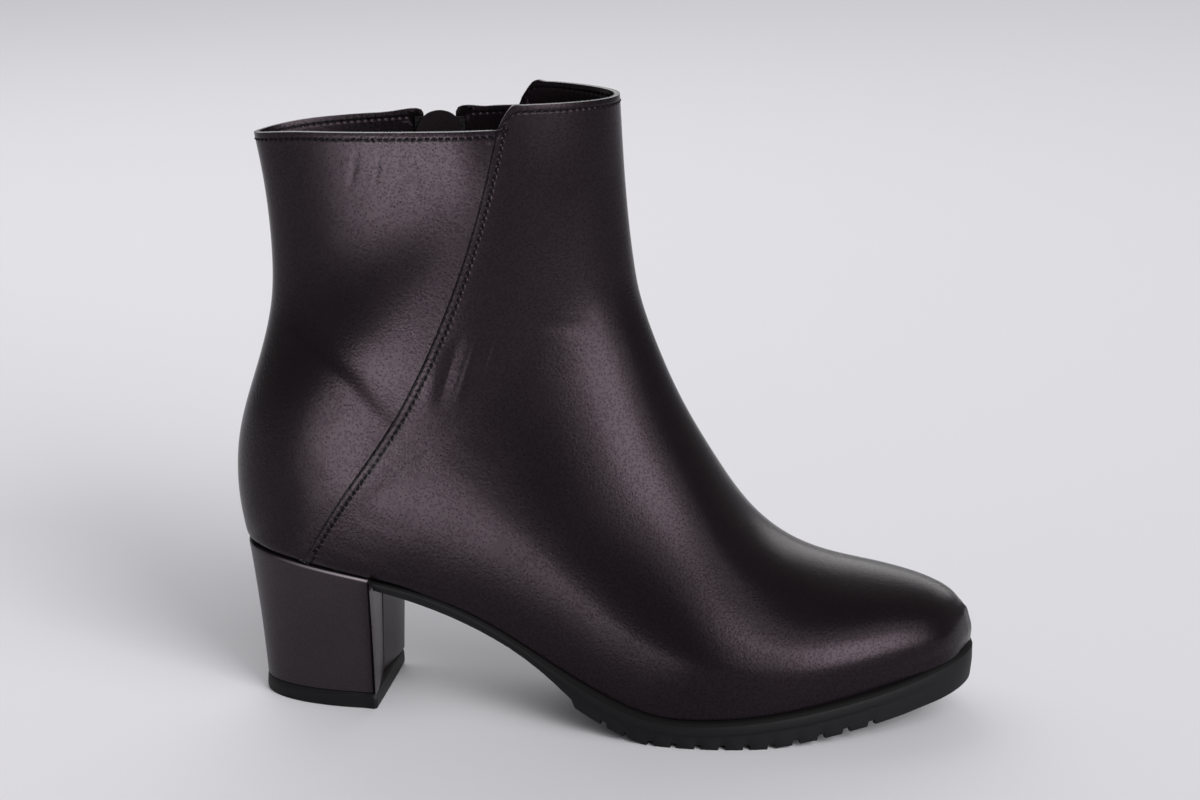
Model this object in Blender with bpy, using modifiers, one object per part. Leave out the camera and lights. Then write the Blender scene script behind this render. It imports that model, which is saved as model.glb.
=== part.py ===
"""Right ankle boot with a block heel, a raised front panel and a zip on its inner side.

Sizes are in millimetres. x runs from the back of the heel to the toe, y from the outer (lateral)
side to the inner (medial) side, and z up from the floor. The objects are built in metres around an
origin on the floor, below the middle of the boot.
"""

import math

import bmesh
import bpy
import numpy as np
from mathutils import Matrix, Vector

OBJECT_NAME = "ankle_boot"
MM = 0.001

# Driving sizes
LENGTH = 258.0
BALL_LATERAL = 47.6
BALL_MEDIAL = 41.0
SOLE_EDGE = 2.4
COLLAR_HEIGHT = 205.0
COLLAR_SLOPE = 0.055
COLLAR_STEP_X = 97.7
COLLAR_BACK_X = 9.0
BACK_DIP = 1.8
BACK_DIP_RUN = 22.0
FRONT_RISE = 8.4
HEEL_BREAST_X = 53.0
TOP_PIECE = 5.5
WALL = 1.9
PANEL_STEP = 1.1
GAP = 0.3

# Counts of points along the curves that are only measured, and a number near nothing
FINE_SECTIONS = 2600
FINE_FEET = 1200
OUTLINE_POINTS = 400
COLUMN_POINTS = 240
GUIDE_POINTS = 80
TINY = 1e-6

# Line where the upper meets the sole: height, middle line, and half-widths from that middle line
FEATHER_COLUMNS = ("x", "z", "axis", "lateral", "medial")
FEATHER = (
    (8.0, 55.2, 0.0, 14.6, 14.4),
    (18.0, 54.2, 0.0, 23.4, 22.8),
    (34.0, 52.0, 0.0, 28.8, 27.8),
    (52.0, 49.0, 0.0, 30.2, 28.6),
    (72.0, 44.9, 0.0, 31.2, 26.4),
    (94.0, 36.4, 0.0, 33.0, 24.2),
    (116.0, 24.4, 0.0, 36.6, 25.6),
    (136.0, 15.0, 0.0, 41.8, 31.4),
    (152.0, 10.8, 0.0, 46.0, 37.0),
    (168.0, 10.2, 0.2, BALL_LATERAL, 40.4),
    (184.0, 11.2, 0.8, 46.6, BALL_MEDIAL),
    (204.0, 13.6, 1.8, 41.8, 38.2),
    (224.0, 17.0, 2.8, 33.4, 31.8),
    (240.0, 20.4, 3.6, 23.6, 23.4),
    (250.0, 23.2, 4.0, 14.6, 14.8),
)
FEATHER_HEEL_X = 3.2
FEATHER_TOE_X = LENGTH - SOLE_EDGE

# Sections of the upper, each in a plane from a point of the front ridge to a point of the feather
# line. Widest is the share of the height at which the section is widest, and the powers round it
# above and below that line.
FOOT_COLUMNS = ("ridge_x", "ridge_z", "ridge_y", "base_x",
                "lateral", "medial", "widest", "top_power", "low_power")
FOOT_SECTIONS = (
    (255.6, 25.2, 4.2, FEATHER_TOE_X, 0.0, 0.0, 0.30, 2.0, 2.0),
    (257.3, 29.8, 4.2, 254.6, 6.6, 6.8, 0.32, 2.0, 2.0),
    (256.6, 33.9, 4.3, 251.6, 13.2, 13.6, 0.34, 2.0, 2.0),
    (253.0, 39.0, 4.4, 246.4, 19.4, 19.6, 0.34, 2.0, 2.0),
    (246.4, 43.7, 4.6, 238.6, 25.6, 25.4, 0.33, 2.0, 2.0),
    (235.4, 47.4, 4.9, 228.0, 32.4, 31.2, 0.32, 2.0, 2.0),
    (220.6, 50.3, 5.2, 214.0, 39.2, 36.8, 0.31, 2.0, 2.0),
    (204.6, 53.5, 5.5, 198.0, 44.8, 40.8, 0.30, 1.9, 2.0),
    (189.6, 60.6, 5.6, 181.0, 48.0, 42.4, 0.29, 1.8, 2.0),
    (177.4, 72.4, 5.4, 163.0, 48.9, 41.4, 0.28, 1.7, 2.0),
    (167.4, 87.3, 5.0, 141.0, 45.4, 38.0, 0.28, 1.65, 2.0),
    (158.5, 102.5, 4.4, 116.0, 40.6, 34.4, 0.30, 1.65, 2.0),
    (151.2, 117.6, 3.6, 89.0, 37.0, 32.4, 0.33, 1.7, 2.0),
    (145.6, 131.8, 2.8, 62.0, 34.6, 31.8, 0.36, 1.75, 2.0),
    (141.8, 143.8, 2.0, 38.0, 33.2, 31.6, 0.39, 1.8, 2.2),
    (139.8, 154.0, 1.4, 19.0, 32.2, 31.3, 0.42, 1.85, 2.6),
    (138.9, 162.0, 0.9, 7.6, 31.4, 31.0, 0.45, 1.9, 2.9),
)

# Sections of the shaft, each from the front ridge to the back line
SHAFT_COLUMNS = ("ridge_x", "ridge_z", "ridge_y", "back_x", "back_z",
                 "lateral", "medial", "widest", "top_power", "low_power")
SHAFT_SECTIONS = (
    (138.0, 169.0, 0.6, FEATHER_HEEL_X, 55.6, 30.9, 30.7, 0.48, 1.95, 3.0),
    (137.3, 176.4, 0.4, 0.4, 72.0, 30.4, 30.4, 0.51, 2.0, 2.8),
    (136.7, 183.6, 0.2, 1.3, 93.0, 30.0, 30.0, 0.54, 2.0, 2.4),
    (136.2, 190.4, 0.1, 7.4, 115.0, 29.6, 29.6, 0.57, 2.0, 1.95),
    (135.8, 197.0, 0.0, 13.2, 137.0, 29.4, 29.4, 0.60, 2.0, 1.6),
    (135.4, 203.0, 0.0, 14.2, 158.0, 29.8, 29.8, 0.62, 2.0, 1.42),
    (135.0, 209.0, 0.0, 12.3, 180.0, 30.4, 30.4, 0.62, 2.0, 1.35),
    (134.7, 215.0, 0.0, 8.6, 201.0, 30.9, 30.9, 0.62, 2.0, 1.35),
    (134.4, 222.0, 0.0, 4.6, 222.0, 31.4, 31.4, 0.62, 2.0, 1.35),
)

# Side-view lines on the walls, from the sole up past the collar
LATERAL_SEAM = ((28.0, 52.6), (40.7, 74.0), (58.6, 100.4), (74.4, 130.2), (85.4, 158.2),
                (93.4, 185.0), (97.7, 203.5), (101.0, 222.0))
MEDIAL_SEAM = ((100.0, 32.8), (95.0, 66.0), (90.5, 108.0), (90.0, 152.0), (92.8, 186.0),
               (95.4, 204.0), (99.0, 222.0))
COLLAR_STEPS = {"lateral": COLLAR_STEP_X, "medial": 95.4}
GUIDE_TOP_Z = 221.0
ZIP_LINE = ((75.0, 43.9), (72.0, 86.0), (69.5, 136.0), (68.2, 203.5), (68.0, 222.0))
ZIP_SLOT = 12.4
ZIP_FOOT_Z = 78.0

# Mesh of the upper: columns between its guide lines, and rows from the sole to the collar
LATERAL_COLUMNS = (19, 9)
MEDIAL_COLUMNS = (16, 3, 2, 8)
ROWS = 30
ROW_CROWDING = 1.4
COLUMN_CROWDING = 1.5
SEAM_EDGE = 0.6
STEP_FADE = 0.55
FEATHER_FADE = 8.0

# Outsole: thickness along its length, and the profile of its edge and tread
TREAD_STEP_X = 124.2
TREAD_STEP_RUN = 1.4
SOLE_COLUMNS = ("x", "thickness", "edge", "rim")
SOLE = (
    (HEEL_BREAST_X + GAP, 3.6, 0.2, 1.6),
    (72.0, 4.6, 0.5, 2.0),
    (84.0, 4.8, 0.7, 2.2),
    (104.0, 4.6, 1.0, 2.4),
    (113.0, 5.6, 1.4, 2.8),
    (118.5, 7.0, 1.6, 3.2),
    (TREAD_STEP_X - TREAD_STEP_RUN, 8.3, 1.8, 3.6),
    (TREAD_STEP_X, 10.6, 1.9, 3.8),
    (135.0, 10.9, SOLE_EDGE, 4.4),
    (151.0, 11.0, SOLE_EDGE, 4.5),
    (184.0, 11.5, SOLE_EDGE, 4.5),
    (201.0, 11.7, SOLE_EDGE, 4.5),
    (227.0, 12.0, SOLE_EDGE, 4.6),
    (LENGTH, 12.8, SOLE_EDGE, 4.8),
)
SOLE_WAIST_STATIONS = 14
SOLE_TOE_STATIONS = 16
SOLE_TOE_FIRST = 0.03
RIM_STEP = 0.9
RIM_CHAMFER = 0.5
EDGE_TAPER = 0.8
LUG_FIRST_X = 133.5
LUG_LAST_X = 225.0
LUG_PITCH = 8.3
LUG_GAP = 1.8
LUG_DEPTH = 1.7
LUG_WALL = 0.5
CHANNEL_HALF = 2.6
CHANNEL_SHARE = 0.25

# Heel: the foot of the block is a D with a round back
HEEL_FOOT_BACK_X = 9.2
HEEL_FOOT_HALF = 23.4
HEEL_FOOT_POWER = 2.3
HEEL_TOP_EDGE = -0.4
HEEL_WAIST = 0.35
HEEL_RINGS = 7
HEEL_SIDE_POINTS = 14
TOP_PIECE_EDGE = 0.3

INSOLE_THICKNESS = 2.4
INSOLE_INSET = WALL + 1.4
INSOLE_TOE = WALL + 3.4
INSOLE_STATIONS = 34
INSOLE_END_TURN = 0.08

# Zip: tape behind the slot, guard behind the tape and coil in the slot. Depth is from the outside of
# the wall to the strip's outer face.
ROUND_END = 0.96
STRIP_CROWDING = 0.9
TAPE_DEPTH = WALL + 0.5
TAPE_THICKNESS = 0.7
CHAIN_THICKNESS = 1.5
STRIP_COLUMNS = ("name", "width", "foot_z", "top_z", "depth", "thickness", "across", "along", "round")
STRIPS = (
    ("zip_tape", 17.0, ZIP_FOOT_Z - 4.0, 200.5, TAPE_DEPTH, TAPE_THICKNESS, 5, 17, False),
    ("zip_guard", 16.0, ZIP_FOOT_Z, 202.8, TAPE_DEPTH + TAPE_THICKNESS + GAP, 1.1, 7, 14, True),
    ("zip_chain", 5.0, ZIP_FOOT_Z + 9.0, 186.0, TAPE_DEPTH - GAP - CHAIN_THICKNESS, CHAIN_THICKNESS,
     4, 20, False),
)

# Slider and pull tab, in the slider's own directions: across the zip, out of the wall and up
SLIDER_Z = 192.5
SLIDER_SIZE = (8.4, 2.2, 10.5)
SLIDER_FRONT = 0.4
SLIDER_BEVEL = 0.6
POST_SIZE = (1.2, 3.6, 3.2)
POST_INSET = 0.5
POST_SINK = 0.3
PIN_RADIUS = 0.6
PIN_HEIGHT = 2.6
EYE_RADIUS = 1.5
EYE_BORE = 0.95
EYE_PLAY = 0.6
NECK_LENGTH = 4.0
NECK_OVERLAP = 0.6
NECK_INSET = 0.4
PULL_SIZE = (6.0, 1.2, 24.0)
PULL_HOLE = (2.6, 9.0)
PULL_HOLE_MARGIN = 2.2
PULL_BEVEL = 0.35
CUT_THROUGH = 2.0


def columns(names, rows):
    """A table's columns as arrays, by name."""
    return {name: np.array(column, float) for name, column in zip(names, zip(*rows))}


def spline(knots, values):
    """Natural cubic spline through the values, as a function of a number or an array."""
    knots = np.asarray(knots, float)
    values = np.asarray(values, float)
    last = len(knots) - 1
    gaps = np.diff(knots)
    slopes = np.diff(values) / gaps
    matrix = np.eye(last + 1)
    right = np.zeros(last + 1)
    for i in range(1, last):
        matrix[i, i - 1:i + 2] = gaps[i - 1], 2 * (gaps[i - 1] + gaps[i]), gaps[i]
        right[i] = 6 * (slopes[i] - slopes[i - 1])
    bends = np.linalg.solve(matrix, right)

    def value(at):
        i = np.clip(np.searchsorted(knots, at) - 1, 0, last - 1)
        left = (knots[i + 1] - at) / gaps[i]
        along = 1 - left
        curve = (left ** 3 - left) * bends[i] + (along ** 3 - along) * bends[i + 1]
        return left * values[i] + along * values[i + 1] + curve * gaps[i] ** 2 / 6

    return value


def arc_lengths(points):
    """Length along a line of points, up to each of them."""
    steps = np.linalg.norm(np.diff(points, axis=0), axis=1)
    return np.concatenate(([0.0], np.cumsum(steps)))


def resample(points, shares):
    """Points at the given shares of a line's length."""
    lengths = arc_lengths(points)
    at = np.asarray(shares) * lengths[-1]
    return np.column_stack([np.interp(at, lengths, axis) for axis in np.transpose(points)])


class FeatherLine:
    """Outline of the bottom of the upper, with round ends at the heel and the toe."""

    def __init__(self):
        table = columns(FEATHER_COLUMNS, FEATHER)
        turn = self.turn(table["x"])
        self.height = spline(table["x"], table["z"])
        self.axis = spline(table["x"], table["axis"])
        self.fullness = {side: spline(turn, table[side] / np.sin(turn))
                         for side in ("lateral", "medial")}

    def turn(self, x):
        """Angle on a half circle from heel to toe whose shadow is x."""
        share = (x - FEATHER_HEEL_X) / (FEATHER_TOE_X - FEATHER_HEEL_X)
        return np.arccos(1 - 2 * np.clip(share, 0, 1))

    def half_width(self, x, side):
        turn = self.turn(x)
        return np.sin(turn) * self.fullness[side](turn)

    def outline(self, side, edge=0.0):
        """Points from heel to toe on one side, moved out by edge, a number or a function of x."""
        turn = np.linspace(0, math.pi, OUTLINE_POINTS)
        x = FEATHER_HEEL_X + (FEATHER_TOE_X - FEATHER_HEEL_X) * (1 - np.cos(turn)) / 2
        sign = -1 if side == "lateral" else 1
        y = self.axis(x) + sign * np.sin(turn) * self.fullness[side](turn)
        run = np.gradient(x)
        rise = np.gradient(y)
        size = np.hypot(run, rise)
        out = edge(x) if callable(edge) else edge
        return np.column_stack((x - sign * rise / size * out, y + sign * run / size * out))


class UpperForm:
    """Outer wall of the upper: s counts the sections from toe to collar, and tau runs down each
    section from the front ridge (0) to the feather or back line (1)."""

    def __init__(self, feather):
        foot = columns(FOOT_COLUMNS, FOOT_SECTIONS)
        shaft = columns(SHAFT_COLUMNS, SHAFT_SECTIONS)
        self.feather = feather
        self.heel_s = float(len(FOOT_SECTIONS))
        self.end_s = self.heel_s + len(SHAFT_SECTIONS) - 1
        whole = np.arange(self.end_s + 1)
        shared = set(FOOT_COLUMNS) & set(SHAFT_COLUMNS)
        self.column = {name: spline(whole, np.concatenate((foot[name], shaft[name])))
                       for name in shared}
        self.base_x = spline(np.arange(self.heel_s + 1), np.append(foot["base_x"], FEATHER_HEEL_X))
        self.back_x = spline(whole[int(self.heel_s):], shaft["back_x"])
        self.back_z = spline(whole[int(self.heel_s):], shaft["back_z"])
        self.fine_s = np.linspace(0, self.end_s, FINE_SECTIONS)
        self.fine_base = self.base(self.fine_s)
        self.fine_ridge = self.ridge(self.fine_s)

    def ridge(self, s):
        return np.stack([self.column["ridge_" + axis](s) for axis in "xyz"], axis=-1)

    def base(self, s):
        """Middle of the section's lower end, on the feather line or the back line."""
        on_sole = s <= self.heel_s
        sole_x = np.clip(self.base_x(np.minimum(s, self.heel_s)), FEATHER_HEEL_X, FEATHER_TOE_X)
        shaft_s = np.maximum(s, self.heel_s)
        x = np.where(on_sole, sole_x, self.back_x(shaft_s))
        y = np.where(on_sole, self.feather.axis(sole_x), 0.0)
        z = np.where(on_sole, self.feather.height(sole_x), self.back_z(shaft_s))
        return np.stack((x, y, z), axis=-1)

    def shape(self, s, side):
        """Sizes of a section's curve: its widest height and half-width there, the angle it turns
        through below, its powers, and the tau of its widest point."""
        widest = self.column["widest"](s)
        base = self.base(s)
        tall = np.linalg.norm(self.ridge(s) - base, axis=-1)
        low = np.where(s < self.heel_s, self.feather.half_width(base[..., 0], side), 0.0)
        wide = np.maximum(np.maximum(self.column[side](s), low), TINY)
        tuck = np.maximum(np.arccos(low / wide), TINY)
        above = np.hypot((1 - widest) * tall, wide)
        below = np.hypot(widest * tall, wide - low)
        turning = above / (above + below + TINY)
        return widest, wide, tuck, self.column["top_power"](s), self.column["low_power"](s), turning

    def point(self, s, tau, side):
        widest, wide, tuck, top_power, low_power, turning = self.shape(s, side)
        up = math.pi / 2 * np.clip(1 - tau / turning, 0, 1)
        down = tuck * np.clip((tau - turning) / (1 - turning + TINY), 0, 1)
        above = tau <= turning
        height = np.where(above, widest + (1 - widest) * np.sin(up) ** (2 / top_power),
                          widest * (1 - (np.sin(down) / np.sin(tuck)) ** (2 / low_power)))
        width = wide * np.cos(np.where(above, up, down))
        base = self.base(s)
        middle = base + (self.ridge(s) - base) * np.asarray(height)[..., None]
        sign = -1 if side == "lateral" else 1
        return middle + np.stack((0 * width, sign * width, 0 * width), axis=-1)

    def place(self, x, z):
        """Section s and height share of a point of the side view."""
        base = self.fine_base[:, (0, 2)]
        chord = self.fine_ridge[:, (0, 2)] - base
        reach = np.array((x, z)) - base
        cross = chord[:, 0] * reach[:, 1] - chord[:, 1] * reach[:, 0]
        turn = np.nonzero((cross[:-1] > 0) & (cross[1:] <= 0))[0][0]
        share = cross[turn] / (cross[turn] - cross[turn + 1])
        s = self.fine_s[turn] + share * (self.fine_s[turn + 1] - self.fine_s[turn])
        chord = (chord[turn] + chord[turn + 1]) / 2
        height = (reach[turn] @ chord) / (chord @ chord)
        return s, min(max(height, 0.0), 1.0)

    def tau_at(self, s, height, side):
        widest, _, tuck, top_power, low_power, turning = self.shape(s, side)
        if height >= widest:
            up = math.asin(((height - widest) / (1 - widest)) ** (top_power / 2))
            return turning * (1 - up / (math.pi / 2))
        down = math.asin(((widest - height) / widest) ** (low_power / 2) * math.sin(tuck))
        return turning + (1 - turning) * down / tuck

    def wall_y(self, x, z, side):
        s, height = self.place(x, z)
        return self.point(np.float64(s), self.tau_at(s, height, side), side)[1]

    def on_wall(self, x, z, side, lift=0.0, reach=1.0):
        """Point of a side wall seen at x, z, lifted off it, with the wall's outward normal."""
        sign = -1 if side == "lateral" else 1
        y = self.wall_y(x, z, side)
        slope_x = (self.wall_y(x + reach, z, side) - self.wall_y(x - reach, z, side)) / (2 * reach)
        slope_z = (self.wall_y(x, z + reach, side) - self.wall_y(x, z - reach, side)) / (2 * reach)
        normal = sign * np.array((-slope_x, 1.0, -slope_z))
        normal /= np.linalg.norm(normal)
        return np.array((x, y, z)) + lift * normal, normal


def zip_x(z):
    line = np.array(ZIP_LINE)
    return spline(line[:, 1], line[:, 0])(z)


def zip_edge(offset):
    return tuple((x + offset, z) for x, z in ZIP_LINE)


def collar_height(x, step_x):
    """Rim of the collar: it dips at the back, and from step_x the front panel rises in a round
    corner."""
    behind = np.maximum(COLLAR_STEP_X - x, 0)
    back = np.clip(1 - (x - COLLAR_BACK_X) / BACK_DIP_RUN, 0, 1)
    line = COLLAR_HEIGHT - COLLAR_SLOPE * behind - BACK_DIP * back ** 2
    run = np.clip((x - step_x) / FRONT_RISE, 0, 1)
    return line + FRONT_RISE * np.sqrt(1 - (1 - run) ** 2)


class SideGrid:
    """Columns of one side of the upper. u is 0 on the ridge, a whole number on each guide line,
    and greatest on the back line."""

    def __init__(self, form, side, guides):
        self.form = form
        self.side = side
        self.guides = [self.trace(line) for line in guides]
        feet = [0.0] + [s[0] for s, _ in self.guides] + [form.heel_s]
        s = np.linspace(0, form.heel_s, FINE_FEET)
        lengths = arc_lengths(form.point(s, np.ones_like(s), side))
        marks = np.interp(feet, s, lengths)
        self.fine_s = s
        self.fine_u = np.interp(lengths, marks, np.arange(len(feet)))

    def trace(self, line):
        """A guide line as section numbers and taus, from its foot upwards."""
        line = np.array(line)
        knots = arc_lengths(line)
        at = np.linspace(0, knots[-1], GUIDE_POINTS)
        xs = spline(knots, line[:, 0])(at)
        zs = spline(knots, line[:, 1])(at)
        found = [self.form.place(x, z) for x, z in zip(xs, zs) if z < GUIDE_TOP_Z]
        taus = [self.form.tau_at(s, height, self.side) for s, height in found]
        taus[0] = 1.0
        return np.array([s for s, _ in found]), np.array(taus)

    def tau(self, s, u):
        lowest = np.interp(s, self.fine_s, self.fine_u)
        known_u = [0.0]
        known_tau = [0.0]
        for number, (guide_s, guide_tau) in enumerate(self.guides, start=1):
            if number < lowest:
                known_u.append(number)
                known_tau.append(np.interp(s, guide_s, guide_tau))
        known_u.append(max(lowest, known_u[-1] + TINY))
        known_tau.append(1.0)
        return np.interp(u, known_u, known_tau)

    def column(self, u):
        """Points of one column, from the feather line to the collar."""
        first = np.interp(u, self.fine_u, self.fine_s)
        s = first + (self.form.end_s - first) * np.linspace(0, 1, COLUMN_POINTS) ** COLUMN_CROWDING
        tau = np.array([self.tau(one, u) for one in s])
        path = self.form.point(s, tau, self.side)
        step_x = COLLAR_STEPS[self.side] if u < 1 else LENGTH
        over = path[:, 2] - collar_height(path[:, 0], step_x)
        cut = int(np.argmax(over > 0))
        share = over[cut] / (over[cut] - over[cut - 1])
        path = np.vstack((path[:cut], path[cut] + share * (path[cut - 1] - path[cut])))
        return resample(path, np.linspace(0, 1, ROWS + 1) ** ROW_CROWDING)


def panel_raise(u):
    """Height of the front panel over the back panel, most at its edge."""
    share = min(max(1 - (1 - u) / STEP_FADE, 0.0), 1.0)
    return PANEL_STEP * share * share * (3 - 2 * share)


def side_columns(grid, counts):
    """Columns of one side from ridge to back, as u, line and raise, with the front panel's edge
    standing just in front of the seam."""
    found = []
    for zone, count in enumerate(counts):
        for u in zone + np.arange(count) / count:
            line = grid.column(u)
            if u == 1:
                ahead = found[-1][1] - line
                run = ahead / np.linalg.norm(ahead, axis=1, keepdims=True)
                found.append((u, line + run * SEAM_EDGE, PANEL_STEP))
            found.append((u, line, panel_raise(u) if u < 1 else 0.0))
    last = float(len(counts))
    found.append((last, grid.column(last), 0.0))
    return found


def to_world(points):
    """Millimetres from the heel to metres around the origin."""
    middle = np.array((LENGTH / 2, (BALL_MEDIAL - BALL_LATERAL) / 2, 0.0))
    return (np.asarray(points) - middle) * MM


def new_object(name, bm, material, collection):
    mesh = bpy.data.meshes.new(name)
    bm.to_mesh(mesh)
    bm.free()
    obj = bpy.data.objects.new(name, mesh)
    obj.data.materials.append(material)
    collection.objects.link(obj)
    return obj


def surface_mesh(rows, closed=False):
    """Open surface over rows of points, in millimetres, as a bmesh in metres."""
    bm = bmesh.new()
    grid = [[bm.verts.new(point) for point in to_world(row)] for row in rows]
    across = len(grid[0])
    for low, high in zip(grid, grid[1:]):
        for i in range(across if closed else across - 1):
            j = (i + 1) % across
            bm.faces.new((low[i], low[j], high[j], high[i]))
    bmesh.ops.recalc_face_normals(bm, faces=bm.faces)
    return bm, grid


def loft_mesh(rings):
    """Closed solid through rings of points, whose ends are capped by rungs from side to side."""
    bm, grid = surface_mesh(rings, closed=True)
    for ring in (grid[0], grid[-1]):
        for i in range((len(ring) - 1) // 2):
            j = len(ring) - 1 - i
            rung = (ring[i], ring[i + 1], ring[j - 1], ring[j])
            bm.faces.new(dict.fromkeys(rung))
    bmesh.ops.recalc_face_normals(bm, faces=bm.faces)
    return bm


def thicken(obj, thickness, offset):
    shell = obj.modifiers.new("Wall", "SOLIDIFY")
    shell.thickness = thickness * MM
    shell.offset = offset
    shell.use_even_offset = True


def shade(obj, angle=35.0):
    obj.data.shade_smooth()
    obj.data.set_sharp_from_angle(angle=math.radians(angle))


def make_upper(form, material, collection):
    """Hollow shell over the sections, with the front panel raised along its two seams and a slot
    for the zip on the medial side."""
    slot = (zip_edge(ZIP_SLOT / 2), zip_edge(-ZIP_SLOT / 2))
    sides = (SideGrid(form, "lateral", (LATERAL_SEAM,)),
             SideGrid(form, "medial", (MEDIAL_SEAM,) + slot))
    lateral = side_columns(sides[0], LATERAL_COLUMNS)
    medial = side_columns(sides[1], MEDIAL_COLUMNS)[-2:0:-1]
    around = lateral + medial
    bm, rows = surface_mesh(np.transpose([line for _, line, _ in around], (1, 0, 2)), closed=True)
    if bm.faces[0].normal.dot(bm.faces[0].calc_center_median()) < 0:
        bmesh.ops.reverse_faces(bm, faces=bm.faces)
    bm.normal_update()
    for number, (_, line, height) in enumerate(around):
        fade = np.minimum(arc_lengths(line) / FEATHER_FADE, 1.0)
        for row, share in zip(rows, fade):
            row[number].co += row[number].normal * height * share * MM
    slot_columns = [len(lateral) + i for i, (u, _, _) in enumerate(medial) if 2 <= u <= 3]
    slot_verts = {row[i] for row in rows for i in slot_columns if row[i].co.z > ZIP_FOOT_Z * MM}
    opening = [face for face in bm.faces if slot_verts.issuperset(face.verts)]
    bmesh.ops.delete(bm, geom=opening, context="FACES")
    upper = new_object("upper", bm, material, collection)
    thicken(upper, WALL, -1.0)
    split = upper.modifiers.new("Facets", "TRIANGULATE")
    split.quad_method = "SHORTEST_DIAGONAL"
    shade(upper)
    return upper


def lug_edges():
    """Front and back edges of the grooves between the lugs."""
    count = int((LUG_LAST_X - LUG_FIRST_X) / LUG_PITCH) + 1
    starts = [LUG_FIRST_X + LUG_PITCH * i for i in range(count)]
    return [(start, start + LUG_GAP) for start in starts]


def sole_stations():
    """Places along the outsole with the share of the groove depth at each."""
    tip_run = LENGTH - LUG_LAST_X - LUG_PITCH / 2
    tip = LENGTH - np.linspace(SOLE_TOE_FIRST, 1, SOLE_TOE_STATIONS) ** 2 * tip_run
    waist = np.linspace(HEEL_BREAST_X + GAP, TREAD_STEP_X - LUG_GAP, SOLE_WAIST_STATIONS)
    step = (TREAD_STEP_X - TREAD_STEP_RUN, TREAD_STEP_X, (TREAD_STEP_X + LUG_FIRST_X) / 2)
    stations = [(x, 0.0) for x in (*waist, *step, *tip)]
    for start, stop in lug_edges():
        stations += [(start - LUG_WALL, 0.0), (start, 1.0), (stop, 1.0), (stop + LUG_WALL, 0.0)]
    return sorted(stations)


def make_outsole(feather, material, collection):
    """Tread sole with a rim round its edge, lugs under the forepart and a thin waist."""
    table = columns(SOLE_COLUMNS, SOLE)
    side_line = {}
    for side in ("lateral", "medial"):
        side_line[side] = feather.outline(side, lambda x: np.interp(x, table["x"], table["edge"]))
    rings = []
    for x, groove in sole_stations():
        top = feather.height(x) - GAP
        bottom = max(top - np.interp(x, table["x"], table["thickness"]), 0.0)
        rim = top - np.interp(x, table["x"], table["rim"])
        lateral, medial = (np.interp(x, line[:, 0], line[:, 1]) for line in side_line.values())
        middle = (lateral + medial) / 2
        half = (medial - lateral) / 2
        inner = half - min(RIM_STEP, half / 4)
        foot = inner - min(EDGE_TAPER, half / 4)
        tread = min(LUG_DEPTH, (rim - bottom) / 2) if x > TREAD_STEP_X else 0.0
        lug = bottom + tread * groove
        channel = min(CHANNEL_HALF, foot * CHANNEL_SHARE)
        profile = ((half, top), (half, rim), (inner, rim - RIM_CHAMFER * (half - inner)),
                   (foot, lug), (channel, lug), (channel - min(LUG_WALL, channel / 4), bottom + tread))
        ring = [(x, middle - across, z) for across, z in profile]
        ring += [(x, middle + across, z) for across, z in reversed(profile)]
        rings.append(ring)
    sole = new_object("outsole", loft_mesh(rings), material, collection)
    shade(sole)
    return sole


def heel_foot(shares):
    """Outline of the foot of the heel on one side, from its back to its breast."""
    turn = np.linspace(0, math.pi / 2, OUTLINE_POINTS)
    back = HEEL_BREAST_X - HEEL_FOOT_BACK_X
    power = 2 / HEEL_FOOT_POWER
    run = HEEL_BREAST_X - back * np.cos(turn) ** power
    out = HEEL_FOOT_HALF * np.sin(turn) ** power
    return resample(np.column_stack((run, out)), shares)


def heel_seat(feather, side, shares):
    """Outline of the top of the heel on one side, from its back to its breast."""
    line = feather.outline(side, HEEL_TOP_EDGE)
    before = line[line[:, 0] < HEEL_BREAST_X]
    end = (HEEL_BREAST_X, np.interp(HEEL_BREAST_X, line[:, 0], line[:, 1]))
    return resample(np.vstack((before, end)), shares)


def make_heel(feather, material, collection):
    """Block heel, cupped to the seat of the upper and drawn in towards its foot."""
    shares = np.linspace(0, 1, HEEL_SIDE_POINTS)
    foot = heel_foot(shares)
    foot_z = TOP_PIECE + GAP
    half_rings = []
    for side, sign in (("lateral", -1), ("medial", 1)):
        seat = heel_seat(feather, side, shares)
        seat_z = feather.height(seat[:, 0]) - GAP
        low = foot * (1, sign)
        levels = []
        for share in np.linspace(0, 1, HEEL_RINGS):
            drawn = share + HEEL_WAIST * share * (1 - share)
            plan = seat + (low - seat) * drawn
            levels.append(np.column_stack((plan, seat_z + (foot_z - seat_z) * share)))
        half_rings.append(levels)
    rings = [np.vstack((lateral[::-1], medial[1:])) for lateral, medial in zip(*half_rings)]
    heel = new_object("heel_block", loft_mesh(rings), material, collection)
    shade(heel)
    return heel


def make_top_piece(material, collection):
    """Rubber lift under the heel block."""
    half = heel_foot(np.linspace(0, 1, HEEL_SIDE_POINTS))
    outline = np.vstack((half[::-1] * (1, -1), half[1:]))
    middle = np.array(((HEEL_FOOT_BACK_X + HEEL_BREAST_X) / 2, 0.0))
    rings = []
    for z, edge in ((0.0, -TOP_PIECE_EDGE), (TOP_PIECE / 4, TOP_PIECE_EDGE), (TOP_PIECE, 0.0)):
        grown = middle + (outline - middle) * (1 + edge / HEEL_FOOT_HALF)
        rings.append(np.column_stack((grown, np.full(len(grown), z))))
    piece = new_object("heel_top_piece", loft_mesh(rings), material, collection)
    shade(piece)
    return piece


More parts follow.
